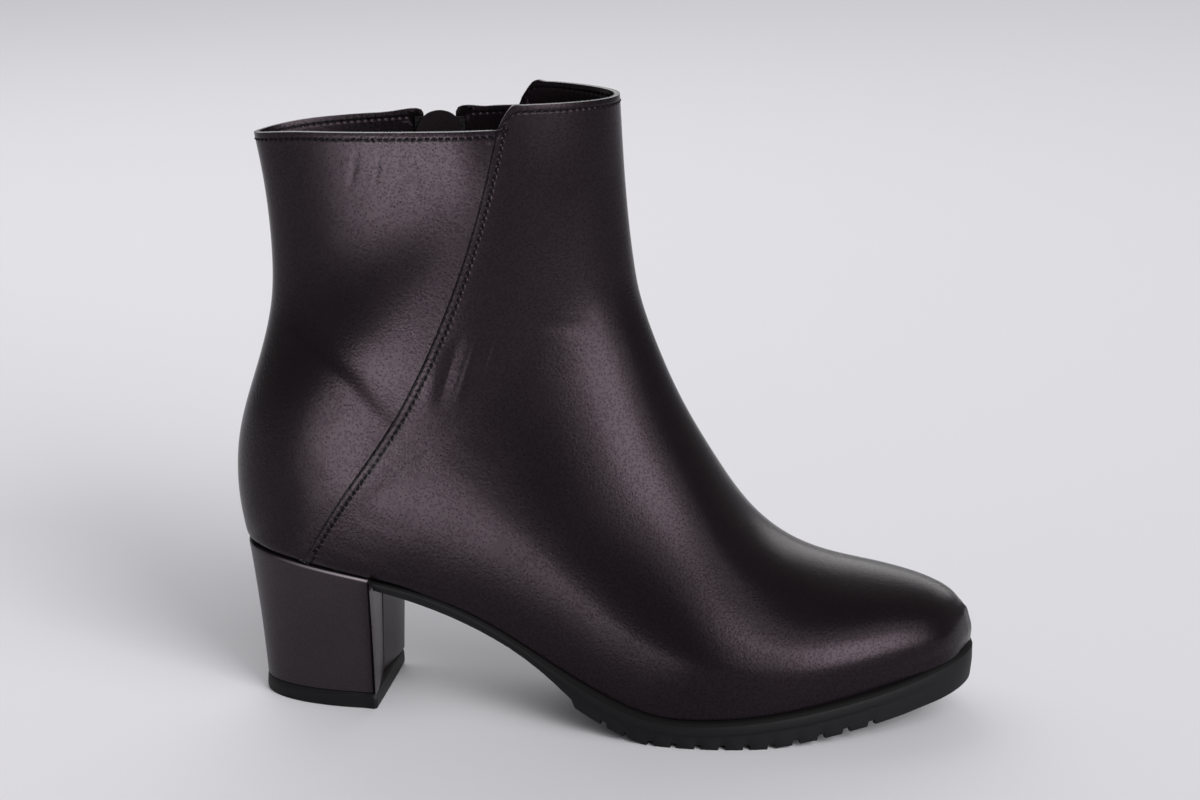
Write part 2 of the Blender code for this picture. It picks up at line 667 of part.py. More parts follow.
def make_insole(feather, material, collection):
    """Insole board that lies inside the upper, from heel to toe."""
    lines = {side: feather.outline(side, -INSOLE_INSET) for side in ("lateral", "medial")}
    first = FEATHER_HEEL_X + INSOLE_INSET
    span = FEATHER_TOE_X - INSOLE_TOE - first
    rings = []
    for turn in np.linspace(INSOLE_END_TURN, math.pi - INSOLE_END_TURN, INSOLE_STATIONS):
        x = first + span * (1 - math.cos(turn)) / 2
        lateral, medial = (np.interp(x, line[:, 0], line[:, 1]) for line in lines.values())
        low = feather.height(x)
        high = low + INSOLE_THICKNESS
        rings.append([(x, lateral, low), (x, lateral, high), (x, medial, high), (x, medial, low)])
    insole = new_object("insole", loft_mesh(rings), material, collection)
    shade(insole)
    return insole


def zip_strip(form, row):
    """Outer face of a strip that follows the zip line on the medial wall, as rows of points."""
    lines = []
    for share in np.linspace(0, 1, row["along"]) ** STRIP_CROWDING:
        line = []
        for offset in np.linspace(-0.5, 0.5, row["across"]):
            top = row["top_z"]
            if row["round"]:
                top -= row["width"] / 2 * (1 - math.sqrt(1 - (2 * offset) ** 2 * ROUND_END))
            z = row["foot_z"] + (top - row["foot_z"]) * share
            x = zip_x(z) + offset * row["width"]
            line.append(form.on_wall(x, z, "medial", -row["depth"])[0])
        lines.append(line)
    return lines


def make_zip_strips(form, materials, collection):
    """Tape, guard and coil of the zip, one behind the other."""
    for values in STRIPS:
        row = dict(zip(STRIP_COLUMNS, values))
        bm, _ = surface_mesh(zip_strip(form, row))
        if bm.faces[0].normal.y < 0:
            bmesh.ops.reverse_faces(bm, faces=bm.faces)
        strip = new_object(row["name"], bm, materials[row["name"]], collection)
        thicken(strip, row["thickness"], -1.0)
        shade(strip)


def slider_frame(form):
    """Place of the slider: local x across the zip, y out of the wall and z up along the zip."""
    place, normal = form.on_wall(zip_x(SLIDER_Z), SLIDER_Z, "medial")
    top_z = SLIDER_Z + SLIDER_SIZE[2] / 2
    above, _ = form.on_wall(zip_x(top_z), top_z, "medial")
    up = Vector(above - place).normalized()
    out = Vector(normal)
    out = (out - up * out.dot(up)).normalized()
    turn = Matrix((out.cross(up), out, up)).transposed()
    return Matrix.Translation(Vector(to_world(place))) @ turn.to_4x4()


def box_mesh(size, centre, bevel=0.0):
    bm = bmesh.new()
    stretch = Matrix.Diagonal((*(side * MM for side in size), 1))
    bmesh.ops.create_cube(bm, size=1.0, matrix=Matrix.Translation(Vector(centre) * MM) @ stretch)
    if bevel:
        bmesh.ops.bevel(bm, geom=bm.edges, offset=bevel * MM, segments=2, profile=0.5,
                        affect="EDGES")
    return bm


def rod_mesh(radius, length, centre, segments=20):
    """Round bar along local x."""
    bm = bmesh.new()
    lie = Matrix.Translation(Vector(centre) * MM) @ Matrix.Rotation(math.pi / 2, 4, "Y")
    bmesh.ops.create_cone(bm, cap_ends=True, segments=segments, radius1=radius * MM,
                          radius2=radius * MM, depth=length * MM, matrix=lie)
    return bm


def boolean(obj, tool, operation):
    tool.hide_render = True
    tool.display_type = "WIRE"
    cut = obj.modifiers.new(tool.name, "BOOLEAN")
    cut.object = tool
    cut.operation = operation
    cut.solver = "EXACT"


def make_slider(form, root, materials, collection, tools):
    """Slider body with two posts and the pin that carries the pull tab."""
    width, depth, _ = SLIDER_SIZE
    metal = materials["zip_slider"]
    place = bpy.data.objects.new("zip_slider_place", None)
    place.matrix_world = slider_frame(form)
    collection.objects.link(place)
    place.parent = root
    body = box_mesh(SLIDER_SIZE, (0, SLIDER_FRONT - depth / 2, 0), SLIDER_BEVEL)
    slider = new_object("zip_slider", body, metal, collection)
    slider.parent = place
    hub = (0, SLIDER_FRONT + PIN_HEIGHT, 0)
    post_y = SLIDER_FRONT - POST_SINK + POST_SIZE[1] / 2
    post_x = width / 2 - POST_INSET - POST_SIZE[0] / 2
    additions = (
        ("post_front", box_mesh(POST_SIZE, (post_x, post_y, 0))),
        ("post_back", box_mesh(POST_SIZE, (-post_x, post_y, 0))),
        ("pin", rod_mesh(PIN_RADIUS, 2 * post_x, hub)),
    )
    for name, bm in additions:
        tool = new_object(name, bm, metal, tools)
        tool.parent = place
        boolean(slider, tool, "UNION")
    shade(slider)
    hinge = bpy.data.objects.new("zip_pull_hinge", None)
    collection.objects.link(hinge)
    hinge.parent = place
    hinge.location = Vector(hub) * MM
    return hinge


def make_pull(hinge, material, collection, tools):
    """Pull tab: an eye that turns on the slider's pin, a neck and a flat tab with a long hole."""
    _, thick, long = PULL_SIZE
    eye_width = SLIDER_SIZE[0] - 2 * (POST_INSET + POST_SIZE[0] + EYE_PLAY)
    neck_size = (eye_width - 2 * NECK_INSET, thick, NECK_LENGTH)
    hole_z = PULL_HOLE_MARGIN + PULL_HOLE[1] / 2 - NECK_LENGTH - long
    hole_size = (PULL_HOLE[0], thick + CUT_THROUGH, PULL_HOLE[1])
    pull = new_object("zip_pull", rod_mesh(EYE_RADIUS, eye_width, (0, 0, 0)), material, collection)
    pull.parent = hinge
    changes = (
        ("pull_neck", "UNION", box_mesh(neck_size, (0, 0, -NECK_LENGTH / 2 - NECK_OVERLAP))),
        ("pull_tab", "UNION", box_mesh(PULL_SIZE, (0, 0, -NECK_LENGTH - long / 2), PULL_BEVEL)),
        ("pull_bore", "DIFFERENCE", rod_mesh(EYE_BORE, eye_width + CUT_THROUGH, (0, 0, 0))),
        ("pull_hole", "DIFFERENCE", box_mesh(hole_size, (0, 0, hole_z))),
    )
    for name, operation, bm in changes:
        tool = new_object(name, bm, material, tools)
        tool.parent = hinge
        boolean(pull, tool, operation)
    shade(pull)


def make_materials():
    """One material for each piece: colour, roughness and metallic value."""
    finishes = {
        "upper": ((0.022, 0.017, 0.019), 0.42, 0.0),
        "outsole": ((0.014, 0.013, 0.014), 0.62, 0.0),
        "heel_block": ((0.018, 0.014, 0.015), 0.38, 0.0),
        "heel_top_piece": ((0.012, 0.012, 0.012), 0.65, 0.0),
        "insole": ((0.030, 0.027, 0.028), 0.70, 0.0),
        "zip_tape": ((0.014, 0.013, 0.014), 0.85, 0.0),
        "zip_guard": ((0.020, 0.016, 0.018), 0.50, 0.0),
        "zip_chain": ((0.020, 0.019, 0.020), 0.45, 0.0),
        "zip_slider": ((0.10, 0.095, 0.095), 0.32, 1.0),
        "zip_pull": ((0.10, 0.095, 0.095), 0.32, 1.0),
    }
    materials = {}
    for name, (colour, roughness, metallic) in finishes.items():
        material = bpy.data.materials.new(name)
        material.use_nodes = True
        shader = material.node_tree.nodes["Principled BSDF"]
        shader.inputs["Base Color"].default_value = (*colour, 1.0)
        shader.inputs["Roughness"].default_value = roughness
        shader.inputs["Metallic"].default_value = metallic
        material.diffuse_color = (*colour, 1.0)
        materials[name] = material
    return materials


def main():
    for obj in list(bpy.data.objects):
        bpy.data.objects.remove(obj, do_unlink=True)
    collection = bpy.data.collections.new(OBJECT_NAME)
    tools = bpy.data.collections.new(OBJECT_NAME + "_cutters")
    bpy.context.scene.collection.children.link(collection)
    bpy.context.scene.collection.children.link(tools)
    root = bpy.data.objects.new(OBJECT_NAME, None)
    collection.objects.link(root)
    materials = make_materials()
    feather = FeatherLine()
    form = UpperForm(feather)
    make_upper(form, materials["upper"], collection)
    make_outsole(feather, materials["outsole"], collection)
    make_heel(feather, materials["heel_block"], collection)
    make_top_piece(materials["heel_top_piece"], collection)
    make_insole(feather, materials["insole"], collection)
    make_zip_strips(form, materials, collection)
    hinge = make_slider(form, root, materials, collection, tools)
    make_pull(hinge, materials["zip_pull"], collection, tools)
    for obj in collection.objects:
        if obj is not root and obj.parent is None:
            obj.parent = root


main()
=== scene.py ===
"""Dresses a right ankle boot: leather upper with creases and stitching, rubber sole, covered heel, zip.

Places are in metres in the boot's own frame: x from heel to toe, y to the inner side and z up from the
floor. Places on the leather are given in millimetres from the back of the heel and up from the floor.
"""

import math

import bmesh
import bpy
import numpy as np
from bpy.props import FloatProperty, FloatVectorProperty, IntProperty, PointerProperty
from bpy.types import Operator, Panel, PropertyGroup
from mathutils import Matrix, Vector
from mathutils.kdtree import KDTree


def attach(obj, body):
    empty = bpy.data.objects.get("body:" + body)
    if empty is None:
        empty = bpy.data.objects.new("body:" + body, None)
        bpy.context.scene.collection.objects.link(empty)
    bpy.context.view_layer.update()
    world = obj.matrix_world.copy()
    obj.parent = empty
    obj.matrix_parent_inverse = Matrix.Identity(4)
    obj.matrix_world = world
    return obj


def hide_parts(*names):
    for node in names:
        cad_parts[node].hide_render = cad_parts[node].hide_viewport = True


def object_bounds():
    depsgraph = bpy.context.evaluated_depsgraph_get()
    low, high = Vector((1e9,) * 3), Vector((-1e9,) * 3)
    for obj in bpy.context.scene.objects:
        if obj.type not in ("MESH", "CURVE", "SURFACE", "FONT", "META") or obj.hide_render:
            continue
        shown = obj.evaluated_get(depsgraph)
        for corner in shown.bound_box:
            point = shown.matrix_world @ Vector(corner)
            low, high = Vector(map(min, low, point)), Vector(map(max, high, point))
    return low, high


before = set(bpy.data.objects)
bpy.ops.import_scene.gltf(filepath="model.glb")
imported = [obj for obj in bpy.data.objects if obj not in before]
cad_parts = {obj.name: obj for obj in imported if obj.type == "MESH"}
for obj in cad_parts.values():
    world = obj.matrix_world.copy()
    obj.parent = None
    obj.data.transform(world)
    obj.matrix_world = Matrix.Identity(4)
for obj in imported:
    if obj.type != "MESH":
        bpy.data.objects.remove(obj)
CAD_BOX = [list(corner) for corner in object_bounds()]

bl_info = {
    "name": "Ankle Boot Dresser",
    "version": (1, 0, 0),
    "blender": (4, 5, 0),
    "location": "View3D > Sidebar > Boot",
    "description": "Builds the finished surfaces of an ankle boot around its solids",
    "category": "Object",
}

MM = 0.001
BODY = "boot"
TAB_BODY = "pull_tab"
HEEL_BACK = CAD_BOX[0][0]
MERGE = 0.00001
RIM_ANGLE = math.radians(45)

# Faces down the sole's edge, from its top, that have the darker, duller finish; its darker colour is painted
# shade of the gap under the upper.
EDGE_FACES = 4

# Heights in metres above which an edge belongs to the collar and to the heel's top rim.
COLLAR_LOW = 0.19
HEEL_RIM_LOW = 0.03

# Relief of sewn and creased leather in metres: depths, and how far from a stitch or an edge it reaches.
PUCKER_DEPTH = 0.0004
CREASE_DEPTH = 0.00011
STITCH_REACH = 0.0026
FURROW_REACH = 0.0009
EDGE_REACH = 0.0016
EDGE_LINE_REACH = 0.0007

# Soft creases of the leather. Each path is in millimetres from the back of the heel and up from the
# floor; a positive height is a ridge and a negative one a trough. A fold lies on one side of its path only,
# above it where the path runs to the toe, and starts there with a clear edge.
CREASE_COLUMNS = ("side", "height", "width", "fold", "path")
CREASES = (
    ("lateral", -0.50, 5.0, True, ((22.0, 133.0), (28.2, 130.0), (35.6, 125.2), (41.6, 121.8),
                                   (47.4, 118.2), (51.6, 113.0), (55.7, 108.4), (61.0, 103.0))),
    ("lateral", -0.28, 1.9, False, ((85.0, 136.0), (81.9, 125.8), (79.8, 118.9), (77.0, 111.0))),
    ("lateral", 0.20, 2.2, False, ((78.5, 133.0), (76.5, 126.5), (75.3, 121.0), (73.5, 115.0))),
    ("lateral", 0.22, 1.9, False, ((91.0, 136.0), (88.6, 128.7), (85.9, 120.4), (83.5, 112.0))),
    ("lateral", -0.20, 1.6, False, ((94.5, 138.0), (92.3, 130.0), (90.0, 121.0))),
    ("lateral", -0.14, 1.5, False, ((111.0, 139.7), (117.7, 137.9), (124.1, 137.5), (129.0, 136.0))),
    ("lateral", -0.10, 1.8, False, ((117.0, 181.0), (121.5, 180.5), (126.0, 181.5))),
    ("medial", -0.30, 4.0, False, ((104.0, 138.0), (112.0, 128.0), (121.0, 121.0))),
    ("medial", -0.40, 5.0, True, ((26.0, 130.0), (40.0, 122.0), (56.0, 108.0))),
)

# Creases finer than the skin's mesh, in millimetres. Each is a straight upright line about its middle, and
# its lean is the run to the toe for each millimetre up.
FINE_COLUMNS = ("X", "Z", "Lean", "Length", "Width")
FINE_CREASES = (
    (48.5, 190.0, 0.23, 22.0, 2.4),
    (57.0, 191.5, 0.12, 18.0, 2.0),
    (64.0, 188.0, 0.02, 28.0, 2.6),
    (72.0, 190.5, -0.10, 20.0, 2.2),
    (80.5, 121.0, 0.30, 20.0, 1.2),
    (86.5, 126.0, 0.33, 28.0, 1.3),
    (90.5, 128.0, 0.30, 25.0, 1.3),
    (94.5, 130.0, 0.30, 20.0, 1.2),
)


class BootSizes(PropertyGroup):
    """Sizes of the boot's finish."""

    wall: FloatProperty(name="Wall", description="Thickness of leather and lining together",
                        default=0.0019, unit="LENGTH")
    rim_round: FloatProperty(name="Rim Round", description="Rounding of the collar's folded rim",
                             default=0.0006, unit="LENGTH")
    smoothing: IntProperty(name="Smoothing", description="Subdivision of the upper's skin", default=2)
    stitch_pitch: FloatProperty(name="Stitch Pitch", description="Distance between stitches",
                                default=0.0024, unit="LENGTH")
    stitch_length: FloatProperty(name="Stitch Length", description="Length of a stitch that shows",
                                 default=0.0018, unit="LENGTH")
    thread: FloatProperty(name="Thread", description="Thickness of the sewing thread",
                          default=0.00052, unit="LENGTH")
    seam_margin: FloatProperty(name="Seam Margin", description="From a panel's edge to its stitches",
                               default=0.0023, unit="LENGTH")
    collar_margin: FloatProperty(name="Collar Margin", description="From the rim to its stitches",
                                 default=0.0023, unit="LENGTH")
    zip_margin: FloatProperty(name="Zip Margin", description="From the slot's edge to its stitches",
                              default=0.0020, unit="LENGTH")
    toe_fill: FloatProperty(name="Toe Fill", description="Length of the upright edge at the toe's tip",
                            default=0.035, unit="LENGTH")
    even_reach: FloatProperty(name="Even Reach", description="Reach of the evened skin at a seam's foot",
                              default=0.03, unit="LENGTH")
    even_height: FloatProperty(name="Even Height", description="Height of that evened skin",
                               default=0.095, unit="LENGTH")
    heel_tuck: FloatProperty(name="Heel Tuck", description="Depth of the groove between upper and heel",
                             default=0.0016, unit="LENGTH")
    heel_gap: FloatProperty(name="Heel Gap", description="Height of that groove at the back",
                            default=0.0009, unit="LENGTH")
    heel_tuck_length: FloatProperty(name="Heel Tuck Length", description="Length of that groove",
                                    default=0.064, unit="LENGTH")
    grain: FloatProperty(name="Grain", description="Size of a speck of the leather's grain",
                         default=0.0009, unit="LENGTH")
    rim_edge: FloatProperty(name="Sole Rim Edge", description="Rounding of the sole's top edge",
                            default=0.0016, unit="LENGTH")
    rim_step: FloatProperty(name="Sole Rim Step", description="Set-back of the tread under the rim",
                            default=0.0009, unit="LENGTH")
    groove_half: FloatProperty(name="Groove Half-Width", description="Half-width of the tread's groove",
                               default=0.0026, unit="LENGTH")
    toe_cap: FloatProperty(name="Toe Cap", description="Length of the plain end of the tread",
                           default=0.008, unit="LENGTH")
    heel_corner: FloatProperty(name="Heel Corner", description="Rounding of the heel's front corners",
                               default=0.0022, unit="LENGTH")
    heel_rim: FloatProperty(name="Heel Rim", description="Rounding of the heel's top",
                            default=0.0009, unit="LENGTH")
    heel_hollow: FloatProperty(name="Heel Hollow", description="Depth of the hollow of the heel's front",
                               default=0.0024, unit="LENGTH")
    heel_seam: FloatProperty(name="Heel Seam", description="Half-width and depth of the seam on that front",
                             default=0.0009, unit="LENGTH")
    tooth_pitch: FloatProperty(name="Tooth Pitch", description="Distance between teeth of the coil",
                               default=0.00075, unit="LENGTH")
    tooth_length: FloatProperty(name="Tooth Length", description="Length of a tooth of the coil",
                                default=0.0032, unit="LENGTH")
    tooth_thick: FloatProperty(name="Tooth Thickness", description="Thickness of a tooth of the coil",
                               default=0.0011, unit="LENGTH")
    tooth_shift: FloatProperty(name="Tooth Shift", description="From the coil's middle to a tooth's middle",
                               default=0.0009, unit="LENGTH")
    metal_round: FloatProperty(name="Metal Round", description="Rounding of the slider and the pull tab",
                               default=0.00025, unit="LENGTH")


class BootColours(PropertyGroup):
    """Colours of the boot's finish."""

    leather: FloatVectorProperty(name="Leather", description="Black leather of the upper",
                                 default=(0.0040, 0.0028, 0.0035), subtype="COLOR")
    cover: FloatVectorProperty(name="Heel Cover", description="Leather over the heel",
                               default=(0.0160, 0.0128, 0.0152), subtype="COLOR")
    # The rim colour is a painted highlight: a light colour for the bright line along the heel's rounded top
    # rim.
    rim_highlight: FloatVectorProperty(name="Rim Highlight", description="Painted highlight along the heel's top rim",
                              default=(0.24, 0.215, 0.23), subtype="COLOR")
    lining: FloatVectorProperty(name="Lining", description="Lining and insole",
                                default=(0.0062, 0.0052, 0.0058), subtype="COLOR")
    rubber: FloatVectorProperty(name="Rubber", description="Sole and top piece",
                                default=(0.0048, 0.0044, 0.0052), subtype="COLOR")
    # Darker colour of the sole's top edge: painted shade of the narrow gap between upper and sole.
    edge: FloatVectorProperty(name="Sole Edge", description="Dull top edge of the sole with painted shade",
                              default=(0.0025, 0.0022, 0.0026), subtype="COLOR")
    thread: FloatVectorProperty(name="Thread", description="Sewing thread",
                                default=(0.0034, 0.0028, 0.0032), subtype="COLOR")
    tape: FloatVectorProperty(name="Tape", description="Woven tape of the zip",
                              default=(0.0045, 0.0040, 0.0045), subtype="COLOR")
    coil: FloatVectorProperty(name="Coil", description="Coil of the zip",
                              default=(0.014, 0.013, 0.014), subtype="COLOR")
    metal: FloatVectorProperty(name="Metal", description="Slider and pull tab",
                               default=(0.16, 0.155, 0.155), subtype="COLOR")


class BootStage(PropertyGroup):
    """Floor, lights and camera around the boot."""

    floor: FloatVectorProperty(name="Floor", description="Pale floor",
                               default=(0.70, 0.69, 0.72), subtype="COLOR")
    floor_radius: FloatProperty(name="Floor Radius", description="Half-width of the floor",
                                default=12.0, unit="LENGTH")
    sky: FloatProperty(name="Room Light", description="Strength of the light from all around", default=0.20)
    right_light: FloatProperty(name="Right Light", description="Brightness of the tall softbox in front",
                               default=8.0)
    wide_light: FloatProperty(name="Wide Light", description="Brightness of the wide softbox round it",
                              default=1.9)
    left_light: FloatProperty(name="Left Light", description="Brightness of the wide softbox at the left",
                              default=1.2)
    back_light: FloatProperty(name="Back Light", description="Brightness of the low softbox behind",
                              default=2.0)
    panel_light: FloatProperty(name="Panel Light", description="Brightness of the panel on the floor",
                               default=19.0)
    panel_turn: FloatProperty(name="Panel Turn", description="Turn of that panel on the floor",
                              default=math.radians(24), unit="ROTATION")
    panel_size: FloatVectorProperty(name="Panel Size", description="Width and depth of that panel", size=2,
                                    default=(0.61, 0.24), unit="LENGTH")
    panel_place: FloatVectorProperty(name="Panel Place", description="Place of that panel's middle",
                                     default=(-0.375, -0.53, 0.003), subtype="TRANSLATION")
    light_reach: FloatProperty(name="Light Distance", description="From the boot to the softboxes",
                               default=16.0, unit="LENGTH")
    left_reach: FloatProperty(name="Left Light Distance", description="From the boot to the left softbox",
                              default=1.8, unit="LENGTH")
    camera: FloatVectorProperty(name="Camera", description="Place of the camera",
                                default=(0.1228, -0.9353, 0.3489), subtype="TRANSLATION")
    target: FloatVectorProperty(name="Target", description="Point in the middle of the picture",
                                default=(-0.0008, 0.0033, 0.1076), subtype="TRANSLATION")
    lens: FloatProperty(name="Lens", description="Focal length in millimetres", default=85.2)


def take(obj):
    """Makes an object the only selected one, and the active one."""
    if bpy.context.object and bpy.context.object.mode != "OBJECT":
        bpy.ops.object.mode_set(mode="OBJECT")
    bpy.ops.object.select_all(action="DESELECT")
    obj.select_set(True)
    bpy.context.view_layer.objects.active = obj


def copied_node(node, name):
    """A merged copy of a solid of the frame, as a new piece."""
    piece = bpy.data.objects.new(name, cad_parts[node].data.copy())
    piece.data.materials.clear()
    bpy.context.scene.collection.objects.link(piece)
    take(piece)
    bpy.ops.mesh.customdata_custom_splitnormals_clear()
    bpy.ops.object.mode_set(mode="EDIT")
    bpy.ops.mesh.select_all(action="SELECT")
    bpy.ops.mesh.remove_doubles(threshold=MERGE)
    bpy.ops.object.mode_set(mode="OBJECT")
    return piece


def modify(piece, kind, **settings):
    """Adds a modifier and applies it."""
    take(piece)
    modifier = piece.modifiers.new(kind.title(), kind)
    for key, value in settings.items():
        setattr(modifier, key, value)
    bpy.ops.object.modifier_apply(modifier=modifier.name)


def new_mesh_piece(name, points, faces):
    """A piece from arrays of points and faces."""
    mesh = bpy.data.meshes.new(name)
    mesh.from_pydata([tuple(point) for point in points], [], faces)
    mesh.update()
    piece = bpy.data.objects.new(name, mesh)
    bpy.context.scene.collection.objects.link(piece)
    return piece


def coordinates(mesh):
    values = np.empty(len(mesh.vertices) * 3)
    mesh.vertices.foreach_get("co", values)
    return values.reshape(-1, 3)


def set_coordinates(mesh, points):
    mesh.vertices.foreach_set("co", np.asarray(points, float).ravel())
    mesh.update()


def vertex_normals(mesh):
    values = np.empty(len(mesh.vertices) * 3)
    mesh.vertex_normals.foreach_get("vector", values)
    return values.reshape(-1, 3)


def dress(piece, materials, node=None, body=BODY):
    """Gives a piece its finishes and the body that it rides on, and hides the solid that it stands for."""
    for material in materials:
        piece.data.materials.append(material)
    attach(piece, body)
    if node:
        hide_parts(node)


def unit(vectors):
    return vectors / np.linalg.norm(vectors, axis=-1, keepdims=True)


def resampled(line, step):
    """Points along a line about a step apart."""
    lengths = np.concatenate(([0.0], np.cumsum(np.linalg.norm(np.diff(line, axis=0), axis=1))))
    count = max(int(lengths[-1] / step), 1) + 1
    at = np.linspace(0, lengths[-1], count)
    return np.column_stack([np.interp(at, lengths, axis) for axis in np.transpose(line)])


# Skin of the upper

def outside_points(bm):
    """Vertices of a shell's outside, spread from its outermost faces up to the rims."""
    waiting = [min(bm.faces, key=lambda face: face.calc_center_median()[axis]) for axis in (0, 1)]
    found = set(waiting)
    while waiting:
        for edge in waiting.pop().edges:
            if edge.calc_face_angle(math.pi) < RIM_ANGLE:
                fresh = set(edge.link_faces) - found
                found |= fresh
                waiting += fresh
    return {vert for face in found for vert in face.verts}


def border_ring(bm):
    """Vertices round the foot of an open skin, in order."""
    start = min((edge for edge in bm.edges if edge.is_boundary), key=lambda edge: edge.verts[0].co.z)
    ring = [start.verts[0], start.verts[1]]
    while True:
        steps = [edge.other_vert(ring[-1]) for edge in ring[-1].link_edges if edge.is_boundary]
        onward = [vert for vert in steps if vert is not ring[-2]]
        if onward[0] is ring[0]:
            return ring
        ring.append(onward[0])


def next_row(row, count, placed):
    """The vertices above a row, by column. A square's diagonal joins neighbouring columns, so a vertex
    that meets an odd number of columns is above the middle one, and the others lie between those."""
    meets = {}
    for column, vert in row.items():
        for edge in vert.link_edges:
            other = edge.other_vert(vert)
            if other not in placed:
                meets.setdefault(other, set()).add(column)
    columns = {}
    waiting = []
    for vert, near in meets.items():
        middle = [c for c in near if len(near) == 1 or {(c - 1) % count, (c + 1) % count} <= near]
        if middle:
            columns[vert] = middle[0]
        else:
            waiting.append(vert)
    while waiting:
        vert = waiting.pop(0)
        beside = [columns[other] for edge in vert.link_edges
                  for other in [edge.other_vert(vert)] if other in columns]
        options = [c for side in beside for c in ((side + 1) % count, (side - 1) % count)
                   if c in meets[vert]]
        if options:
            columns[vert] = options[0]
        else:
            waiting.append(vert)
    return {column: vert for vert, column in columns.items()}


def skin_grid(piece):
    """Leaves the outside of a shell, joins its triangles to squares, and returns its points by row from
    the foot and by column round the boot, with no numbers where the slot of the zip is. The second array
    has the vertices' numbers in the same order."""
    take(piece)
    bpy.ops.object.mode_set(mode="EDIT")
    bm = bmesh.from_edit_mesh(piece.data)
    outside = outside_points(bm)
    for face in bm.faces:
        face.select_set(not outside.issuperset(face.verts))
    bpy.ops.mesh.delete(type="FACE")
    bm = bmesh.from_edit_mesh(piece.data)
    row = dict(enumerate(border_ring(bm)))
    count = len(row)
    places = {}
    rows = []
    while row:
        places.update({vert: (len(rows), column) for column, vert in row.items()})
        rows.append(row)
        row = next_row(row, count, places)
    bm.verts.index_update()
    grid = np.full((len(rows), count, 3), np.nan)
    numbers = np.full((len(rows), count), -1)
    for vert, (number, column) in places.items():
        grid[number, column] = vert.co
        numbers[number, column] = vert.index
    bpy.ops.mesh.select_mode(type="EDGE")
    bpy.ops.mesh.select_all(action="DESELECT")
    for edge in bm.edges:
        (row_a, column_a), (row_b, column_b) = (places[vert] for vert in edge.verts)
        edge.select_set(row_a != row_b and column_a != column_b)
    bm.select_flush_mode()
    bpy.ops.mesh.dissolve_edges(use_verts=False, use_face_split=False)
    bpy.ops.mesh.select_mode(type="VERT")
    bpy.ops.object.mode_set(mode="OBJECT")
    return grid, numbers


def shape_foot(piece, numbers, sizes):
    """Brings the lowest rows round the tip of the toe out under the third row, for an upright edge. Over the
    heel it tucks the lowest row in and lifts it at the back, for the groove between upper and heel."""
    points = coordinates(piece.data)
    normals = vertex_normals(piece.data)
    third = points[numbers[2]]
    toe = (third[:, 0] - third[:, 0].max() + sizes.toe_fill) / (0.7 * sizes.toe_fill)
    for row in numbers[:2]:
        points[row, :2] += (third[:, :2] - points[row, :2]) * 0.9 * np.clip(toe, 0, 1)[:, None]
    heel = np.clip(1 - (third[:, 0] - third[:, 0].min()) / sizes.heel_tuck_length, 0, 1)
    for row, share in zip(numbers[:2], (1.0, 0.25)):
        outward = unit(sum(np.roll(normals[row], turn, axis=0) for turn in range(-3, 4)))
        points[row] -= outward * (sizes.heel_tuck * share * np.clip(4 * heel, 0, 1))[:, None]
        points[row, 2] += sizes.heel_gap * share * heel ** 2
    set_coordinates(piece.data, points)


def shaped_skin(piece, sizes):
    """Leaves the shaped outside of the upper's shell, and returns the lines on it."""
    grid, numbers = skin_grid(piece)
    shape_foot(piece, numbers, sizes)
    there = numbers >= 0
    grid[there] = coordinates(piece.data)[numbers[there]]
    return SkinLines(grid)


class SkinLines:
    """Lines on the upper, read from its grid: panel edges, collar and slot of the zip."""

    def __init__(self, grid):
        self.grid = grid
        self.count = grid.shape[1]
        gaps = np.nanmean(np.linalg.norm(grid - np.roll(grid, -1, axis=1), axis=2), axis=0)
        self.steps = [int(c) for c in np.argsort(gaps)[:2]]
        self.slot = int(np.nonzero(np.isnan(grid[-1, :, 0]))[0][0])
        self.slot_row = int(np.nonzero(np.isnan(grid[:, self.slot, 0]))[0][0]) - 1

    def column(self, number):
        return self.grid[:, number % self.count]

    def panel_edges(self):
        """Edge of the front panel on each side, with the direction across it to the front."""
        for step in self.steps:
            forward = np.nanmean(self.column(step)[:, 0] - self.column(step + 1)[:, 0]) > 0
            edge, ahead = (step, step - 1) if forward else (step + 1, step + 2)
            line = self.column(edge)
            way = unit(np.gradient(line, axis=0))
            across = self.column(ahead) - line
            yield line, unit(across - way * np.einsum("ij,ij->i", across, way)[:, None])

    def collar_runs(self):
        """Stretches of the rim between the slot and the panel edges, with the direction down."""
        run = []
        for number in range(self.slot + 1, self.slot + self.count):
            run.append(number % self.count)
            if number % self.count in self.steps or number == self.slot + self.count - 1:
                rim = self.grid[-1, run]
                yield rim, unit(self.grid[-2, run] - rim)
                run = []

    def slot_frame(self, margin):
        """Line round the slot, down one edge, across below it and up the other."""
        sides = []
        for near, far in ((-1, -2), (1, 2)):
            edge = self.column(self.slot + near)[self.slot_row:]
            away = unit(self.column(self.slot + far)[self.slot_row:] - edge)
            sides.append(edge + away * margin)
        below = self.grid[self.slot_row, self.slot] - self.grid[self.slot_row - 1, self.slot]
        drop = -unit(below) * margin
        foot = [sides[0][0] + drop, self.grid[self.slot_row, self.slot] + drop, sides[1][0] + drop]
        return np.vstack((sides[0][::-1], foot, sides[1]))


def stitch_lines(lines, sizes):
    """Lines of stitching on the upper: panel edges, collar and zip."""
    found = [(edge + across * sizes.seam_margin)[1:] for edge, across in lines.panel_edges()]
    for rim, down in lines.collar_runs():
        if len(rim) > 2:
            found.append(rim + down * sizes.collar_margin)
    found.append(lines.slot_frame(sizes.zip_margin))
    return found


def fit_cage(piece):
    """Moves a cage under a Subdivision Surface until the surface runs through its first points."""
    target = coordinates(piece.data)
    for _ in range(4):
        graph = bpy.context.evaluated_depsgraph_get()
        smooth = coordinates(piece.evaluated_get(graph).data)[:len(target)]
        set_coordinates(piece.data, coordinates(piece.data) + target - smooth)


